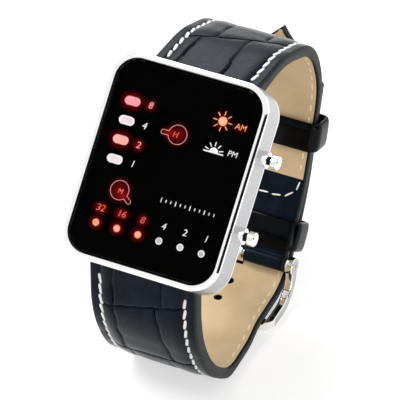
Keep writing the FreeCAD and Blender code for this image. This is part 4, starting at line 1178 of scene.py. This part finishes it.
def windowMesh(length, width, x, y):
    # a moulded light window with a soft rim
    bm = bmesh.new()
    bmesh.ops.create_circle(bm, cap_ends=True, segments=display["windowSteps"], radius=width / 2)
    for vert in bm.verts:
        vert.co.x += math.copysign((length - width) / 2, vert.co.x) + x
        vert.co.y += y
        vert.co.z = display["bottom"]
    top = extrudeBy(bm, display["top"] - display["bottom"])
    lid = [f for f in bm.faces if all(v in top for v in f.verts)]
    bmesh.ops.inset_region(bm, faces=lid, thickness=width * display["rimShare"], depth=display["dome"] / 2)
    for face in bm.faces:
        face.material_index = 0 if face in lid else 1
    return bm


def writing(text, size, x, y, lean):
    # letters as a thin print on the mask, centred on their place
    curve = bpy.data.curves.new("writing", "FONT")
    curve.body = text
    curve.size = size
    curve.align_x = "CENTER"
    curve.align_y = "CENTER"
    curve.extrude = inkPrint["letterHalf"]
    curve.shear = lean
    curve.resolution_u = inkPrint["letterSteps"]
    holder = addObject("writing", curve)
    mesh = workedOut(holder)
    bm = bmesh.new()
    bm.from_mesh(mesh)
    bmesh.ops.remove_doubles(bm, verts=bm.verts, dist=1e-5)
    bmesh.ops.translate(bm, verts=bm.verts, vec=(x, y, inkPrint["top"]))
    bpy.data.objects.remove(holder)
    bpy.data.meshes.remove(mesh)
    return bm


def addDash(bm, start, end, width):
    # a short printed stroke with round ends
    start, end = Vector((*start, 0)), Vector((*end, 0))
    way = (end - start).normalized()
    made = bmesh.ops.create_circle(bm, cap_ends=True, segments=inkPrint["dashSteps"], radius=width / 2)
    for vert in made["verts"]:
        vert.co += end if vert.co.dot(way) > 0 else start
        vert.co.z = inkPrint["top"]


def printPiece(name, bm, ink):
    # what is printed on the mask, in one of the marks' colours, glowing with painted light
    headPiece(name, bm, [marks[ink]])


def inked(bm):
    extrudeBy(bm, -inkPrint["depth"])
    return bm


def makeDisplay(values):
    length, width = values["hourLength"], values["hourWidth"]
    for i, (number, window, ink) in enumerate(values["hours"]):
        y = values["hourTop"] - i * values["hourPitch"]
        rim = marks["rim"] if window == "blush" else marks[window]
        headPiece("hour_window_" + number, windowMesh(length, width, values["hourX"], y),
                  [marks[window], rim], ["hour_windows"])
        digit = writing(number, values["numberSize"], values["hourNumberX"], values["hourNumberY"][i],
                        values["numberLean"])
        printPiece("hour_number_" + number, digit, ink)
    width = 2 * values["minuteRadius"]
    for i, (number, window, ink) in enumerate(values["minutes"]):
        x = values["minuteX"] + i * values["minutePitch"]
        rim = marks["orange"] if window != "pearl" else marks["white"]
        headPiece("minute_window_" + number, windowMesh(width, width, x, values["minuteY"]),
                  [marks[window], rim], ["minute_windows"])
        digits = writing(number, values["numberSize"], x + values["minuteNumberShift"],
                         values["minuteNumberY"], values["numberLean"])
        printPiece("minute_number_" + number, digits, ink)


# the turns are the first ray's, in degrees
signs = {"x": 8.2, "y": 12.95, "lowY": 6.45, "radius": 0.95, "rayStart": 1.3, "rayEnd": 2.02,
         "rayWidth": 0.21, "rays": 8, "turn": 42.5, "lowRays": 5, "lowTurn": 18, "horizonHalf": 2.1,
         "horizonWidth": 0.28, "horizonDrop": 0.1, "letterSize": 1.7, "letterX": 12.25, "letterY": 12.7,
         "lowLetterY": 7.05, "letterLean": 0.1}


def raysMesh(sun, y, count, first, spread):
    bm = bmesh.new()
    for k in range(count):
        angle = math.radians(first + spread * k / count)
        start, end = [(sun["x"] + reach * math.cos(angle), y + reach * math.sin(angle))
                      for reach in (sun["rayStart"], sun["rayEnd"])]
        addDash(bm, start, end, sun["rayWidth"])
    return bm


def makeSigns(sun):
    # a whole sun for the morning, and for the evening half a one on its horizon
    width, x, y = 2 * sun["radius"], sun["x"], sun["lowY"]
    headPiece("morning_sun", windowMesh(width, width, x, sun["y"]), [marks["sunlight"], marks["flame"]],
              ["meridiem_windows"])
    bm = windowMesh(width, width, x, y)
    bmesh.ops.bisect_plane(bm, geom=list(bm.verts) + list(bm.edges) + list(bm.faces), plane_co=(0, y, 0),
                           plane_no=(0, -1, 0), clear_outer=True)
    closeHoles(bm)
    headPiece("evening_sun", bm, [marks["white"], marks["rim"]], ["meridiem_windows"])
    printPiece("morning_rays", inked(raysMesh(sun, sun["y"], sun["rays"], sun["turn"], 360)), "flame")
    bm = raysMesh(sun, y, sun["lowRays"], sun["lowTurn"], 180)
    horizon = y - sun["horizonDrop"]
    addDash(bm, (x - sun["horizonHalf"], horizon), (x + sun["horizonHalf"], horizon), sun["horizonWidth"])
    printPiece("evening_rays", inked(bm), "white")
    for name, text, height, ink in (("morning_letters", "AM", sun["letterY"], "flame"),
                                    ("evening_letters", "PM", sun["lowLetterY"], "white")):
        printPiece(name, writing(text, sun["letterSize"], sun["letterX"], height, sun["letterLean"]), ink)


loupeShape = {"radius": 2.0, "line": 0.11, "grip": 0.45, "ringSteps": 48, "gripSteps": 12, "letterLean": 0.15}
loupes = {
    "hour": {"centre": (-0.2, 7.8), "handle": (-3.6, -0.2), "letter": "H", "size": 1.7,
             "shift": (-0.45, -0.1)},
    "minute": {"centre": (-8.6, -6.25), "handle": (2.95, -2.05), "letter": "M", "size": 1.5,
               "shift": (0.2, -0.2)},
}


def loupeMesh(centre, handle, shape):
    # a loupe's outline: a ring that opens into a round-ended handle
    radius, grip = shape["radius"], shape["grip"]
    heading = math.atan2(handle[1], handle[0])
    reach = math.hypot(*handle) - grip
    opening = math.asin(grip / radius)
    path = []
    for k in range(shape["ringSteps"] + 1):
        angle = heading + opening + (2 * math.pi - 2 * opening) * k / shape["ringSteps"]
        path.append((centre[0] + radius * math.cos(angle), centre[1] + radius * math.sin(angle)))
    for k in range(shape["gripSteps"] + 1):
        angle = heading - math.pi / 2 + math.pi * k / shape["gripSteps"]
        path.append((centre[0] + reach * math.cos(heading) + grip * math.cos(angle),
                     centre[1] + reach * math.sin(heading) + grip * math.sin(angle)))
    bm = bmesh.new()
    edges = []
    for side in (-shape["line"] / 2, shape["line"] / 2):
        rim = []
        for k, (x, y) in enumerate(path):
            before, after = path[k - 1], path[(k + 1) % len(path)]
            way = Vector((after[0] - before[0], after[1] - before[1])).normalized()
            rim.append(bm.verts.new((x - way.y * side, y + way.x * side, inkPrint["top"])))
        edges += [bm.edges.new((rim[k - 1], rim[k])) for k in range(len(rim))]
    bmesh.ops.bridge_loops(bm, edges=edges)
    return inked(bm)


tickRow = {"x": 0.6, "end": 12.3, "y": -5.75, "count": 12, "every": 3, "tall": 0.8, "short": 0.42,
           "width": 0.20}


def ticksMesh(row):
    # a plain scale of alternating strokes
    bm = bmesh.new()
    for i in range(row["count"]):
        x = row["x"] + (row["end"] - row["x"]) * i / (row["count"] - 1)
        half = (row["short"] if i % row["every"] else row["tall"]) / 2
        addDash(bm, (x, row["y"] - half), (x, row["y"] + half), row["width"])
    return inked(bm)


makeDisplay(display)
makeSigns(signs)
for name, loupe in loupes.items():
    printPiece(name + "_loupe", loupeMesh(loupe["centre"], loupe["handle"], loupeShape), "rose")
for name, loupe in loupes.items():
    x, y = np.add(loupe["centre"], loupe["shift"])
    letter = writing(loupe["letter"], loupe["size"], x, y, loupeShape["letterLean"])
    printPiece(name + "_letter", letter, "red")
printPiece("tick_row", ticksMesh(tickRow), "white")
print("dial made")

# the bloom round each lamp that is on: its place, how far it reaches both ways, and its strength
blooms = (
    (-11.65, 11.85, 3.3, 2.5, 0.9), (-7.6, 11.97, 1.6, 1.7, 0.8), (-11.65, 3.65, 3.3, 2.5, 0.7),
    (-7.6, 3.54, 1.6, 1.8, 0.9), (-11.5, -13.85, 1.9, 1.9, 1.0), (-6.78, -13.85, 1.9, 1.9, 1.0),
    (-2.06, -13.85, 1.9, 1.9, 1.0), (-11.4, -10.8, 2.2, 1.7, 0.8), (-6.68, -10.8, 2.2, 1.7, 0.8),
    (-1.96, -10.8, 1.6, 1.7, 0.8), (-0.2, 7.8, 3.2, 3.2, 0.55), (-2.2, 7.7, 2.2, 1.5, 0.9),
    (-8.6, -6.25, 3.2, 3.2, 0.6), (-7.4, -7.2, 2.2, 1.8, 0.6), (8.2, 12.95, 2.6, 2.6, 0.25),
    (12.25, 12.6, 2.2, 1.4, 0.4),
)
maskLook = {"ink": (0.0004, 0.0004, 0.0004), "bloom": (0.42, 0.004, 0.006), "fall": 1.8, "gain": 0.8}


def makeMaskInk(look, spots):
    # matt black ink, with the red bloom of the lamps that are on
    ink = newMaterial("mask_ink", {"Base Color": look["ink"], "Roughness": 0.9, "Specular IOR Level": 0.01,
                                   "Emission Color": look["bloom"]})
    place = placeIn(ink, onHead=True)
    total = None
    for x, y, reachX, reachY, strength in spots:
        mapping = addNode(ink.node_tree, "ShaderNodeMapping")
        mapping.inputs["Location"].default_value = (-x / reachX, -y / reachY, 0)
        mapping.inputs["Scale"].default_value = (1 / reachX, 1 / reachY, 0)
        ball = addNode(ink.node_tree, "ShaderNodeTexGradient", gradient_type="SPHERICAL")
        feed(ink, mapping.inputs["Vector"], place)
        feed(ink, ball.inputs["Vector"], mapping.outputs["Vector"])
        falling = mathOf(ink, ball.outputs["Fac"], look["fall"], "POWER")
        bloom = mathOf(ink, falling, strength * look["gain"], "MULTIPLY")
        total = bloom if total is None else mathOf(ink, total, bloom)
    wire(ink, total, "Emission Strength")
    return ink


springSteel = makeMetal("spring_steel_wire", (0.60, 0.61, 0.63), (0.22, 0.34), (4, 4, 0.5))
barSteel = makeMetal("bar_steel", (0.66, 0.665, 0.67), (0.18, 0.3), (0.4, 6, 6))
pusherSteel = makePusherSteel(pusherLook)
rubber = makePlastic("gasket_rubber", (0.0006, 0.0006, 0.0006), (0.0014, 0.0014, 0.0014), (0.7, 0.9),
                     specular=0.03)
ledResin = makePlastic("led_resin", (0.75, 0.70, 0.66), (0.85, 0.80, 0.76), (0.2, 0.3))
finishes = {
    "case_body": caseSteel, "lens_gasket": rubber, "back_gasket": rubber,
    "back_cover": makeMetal("back_steel_brushed", (0.60, 0.605, 0.61), (0.24, 0.36), (0.3, 9, 9), 0.006,
                            onHead=True),
    "back_screws": makeMetal("screw_steel", (0.74, 0.745, 0.75), (0.16, 0.24)),
    "dial_mask": makeMaskInk(maskLook, blooms),
    "light_baffle": makePlastic("baffle_white", (0.55, 0.55, 0.53), (0.65, 0.65, 0.63), (0.5, 0.6)),
    "circuit_board": makeBoard(boardLook),
    "hour_leds": ledResin, "minute_leds": ledResin, "icon_leds": ledResin,
    "driver_chip": makePlastic("chip_epoxy", (0.015, 0.015, 0.016), (0.03, 0.03, 0.032), (0.45, 0.6)),
    "quartz_crystal": makeMetal("crystal_can", (0.75, 0.74, 0.70), (0.18, 0.28), (6, 0.4, 0.4)),
    "board_passives": makePlastic("ceramic_parts", (0.30, 0.22, 0.15), (0.42, 0.33, 0.24), (0.4, 0.6), 2.0),
    "module_holder": makePlastic("holder_plastic", (0.05, 0.052, 0.055), (0.08, 0.082, 0.085), (0.45, 0.6)),
    "battery": makeMetal("cell_can", (0.72, 0.725, 0.73), (0.2, 0.3), (0.5, 5, 5), onHead=True),
    "battery_clip": springSteel,
    "contact_leaves": makeMetal("contact_brass", (0.72, 0.53, 0.25), (0.2, 0.3)),
    "pusher_sleeves": polishedSteel, "buckle_tongue": polishedSteel,
    "buckle_frame": makeBuckleSteel(buckleLook),
}
for pusher in ("upper_pusher", "lower_pusher"):
    finishes.update({pusher: pusherSteel, pusher + "_clip": springSteel, pusher + "_spring": springSteel})
for bar in ("upper_bar", "lower_bar", "buckle_bar"):
    finishes.update({bar + "_spring": springSteel, bar + "_tube": barSteel, bar + "_left_pin": barSteel,
                     bar + "_right_pin": barSteel})

creaseAngle = 24  # degrees
for name, material in finishes.items():
    node = nodes[name]
    node.data.materials.clear()
    node.data.materials.append(material)
    for face in node.data.polygons:
        face.use_smooth = True
    weld = node.modifiers.new("weld", "WELD")
    weld.merge_threshold = weldGap
    split = node.modifiers.new("creases", "EDGE_SPLIT")
    split.split_angle = math.radians(creaseAngle)
    node.modifiers.new("flats", "WEIGHTED_NORMAL")
print("finishes given to", len(finishes), "pieces")
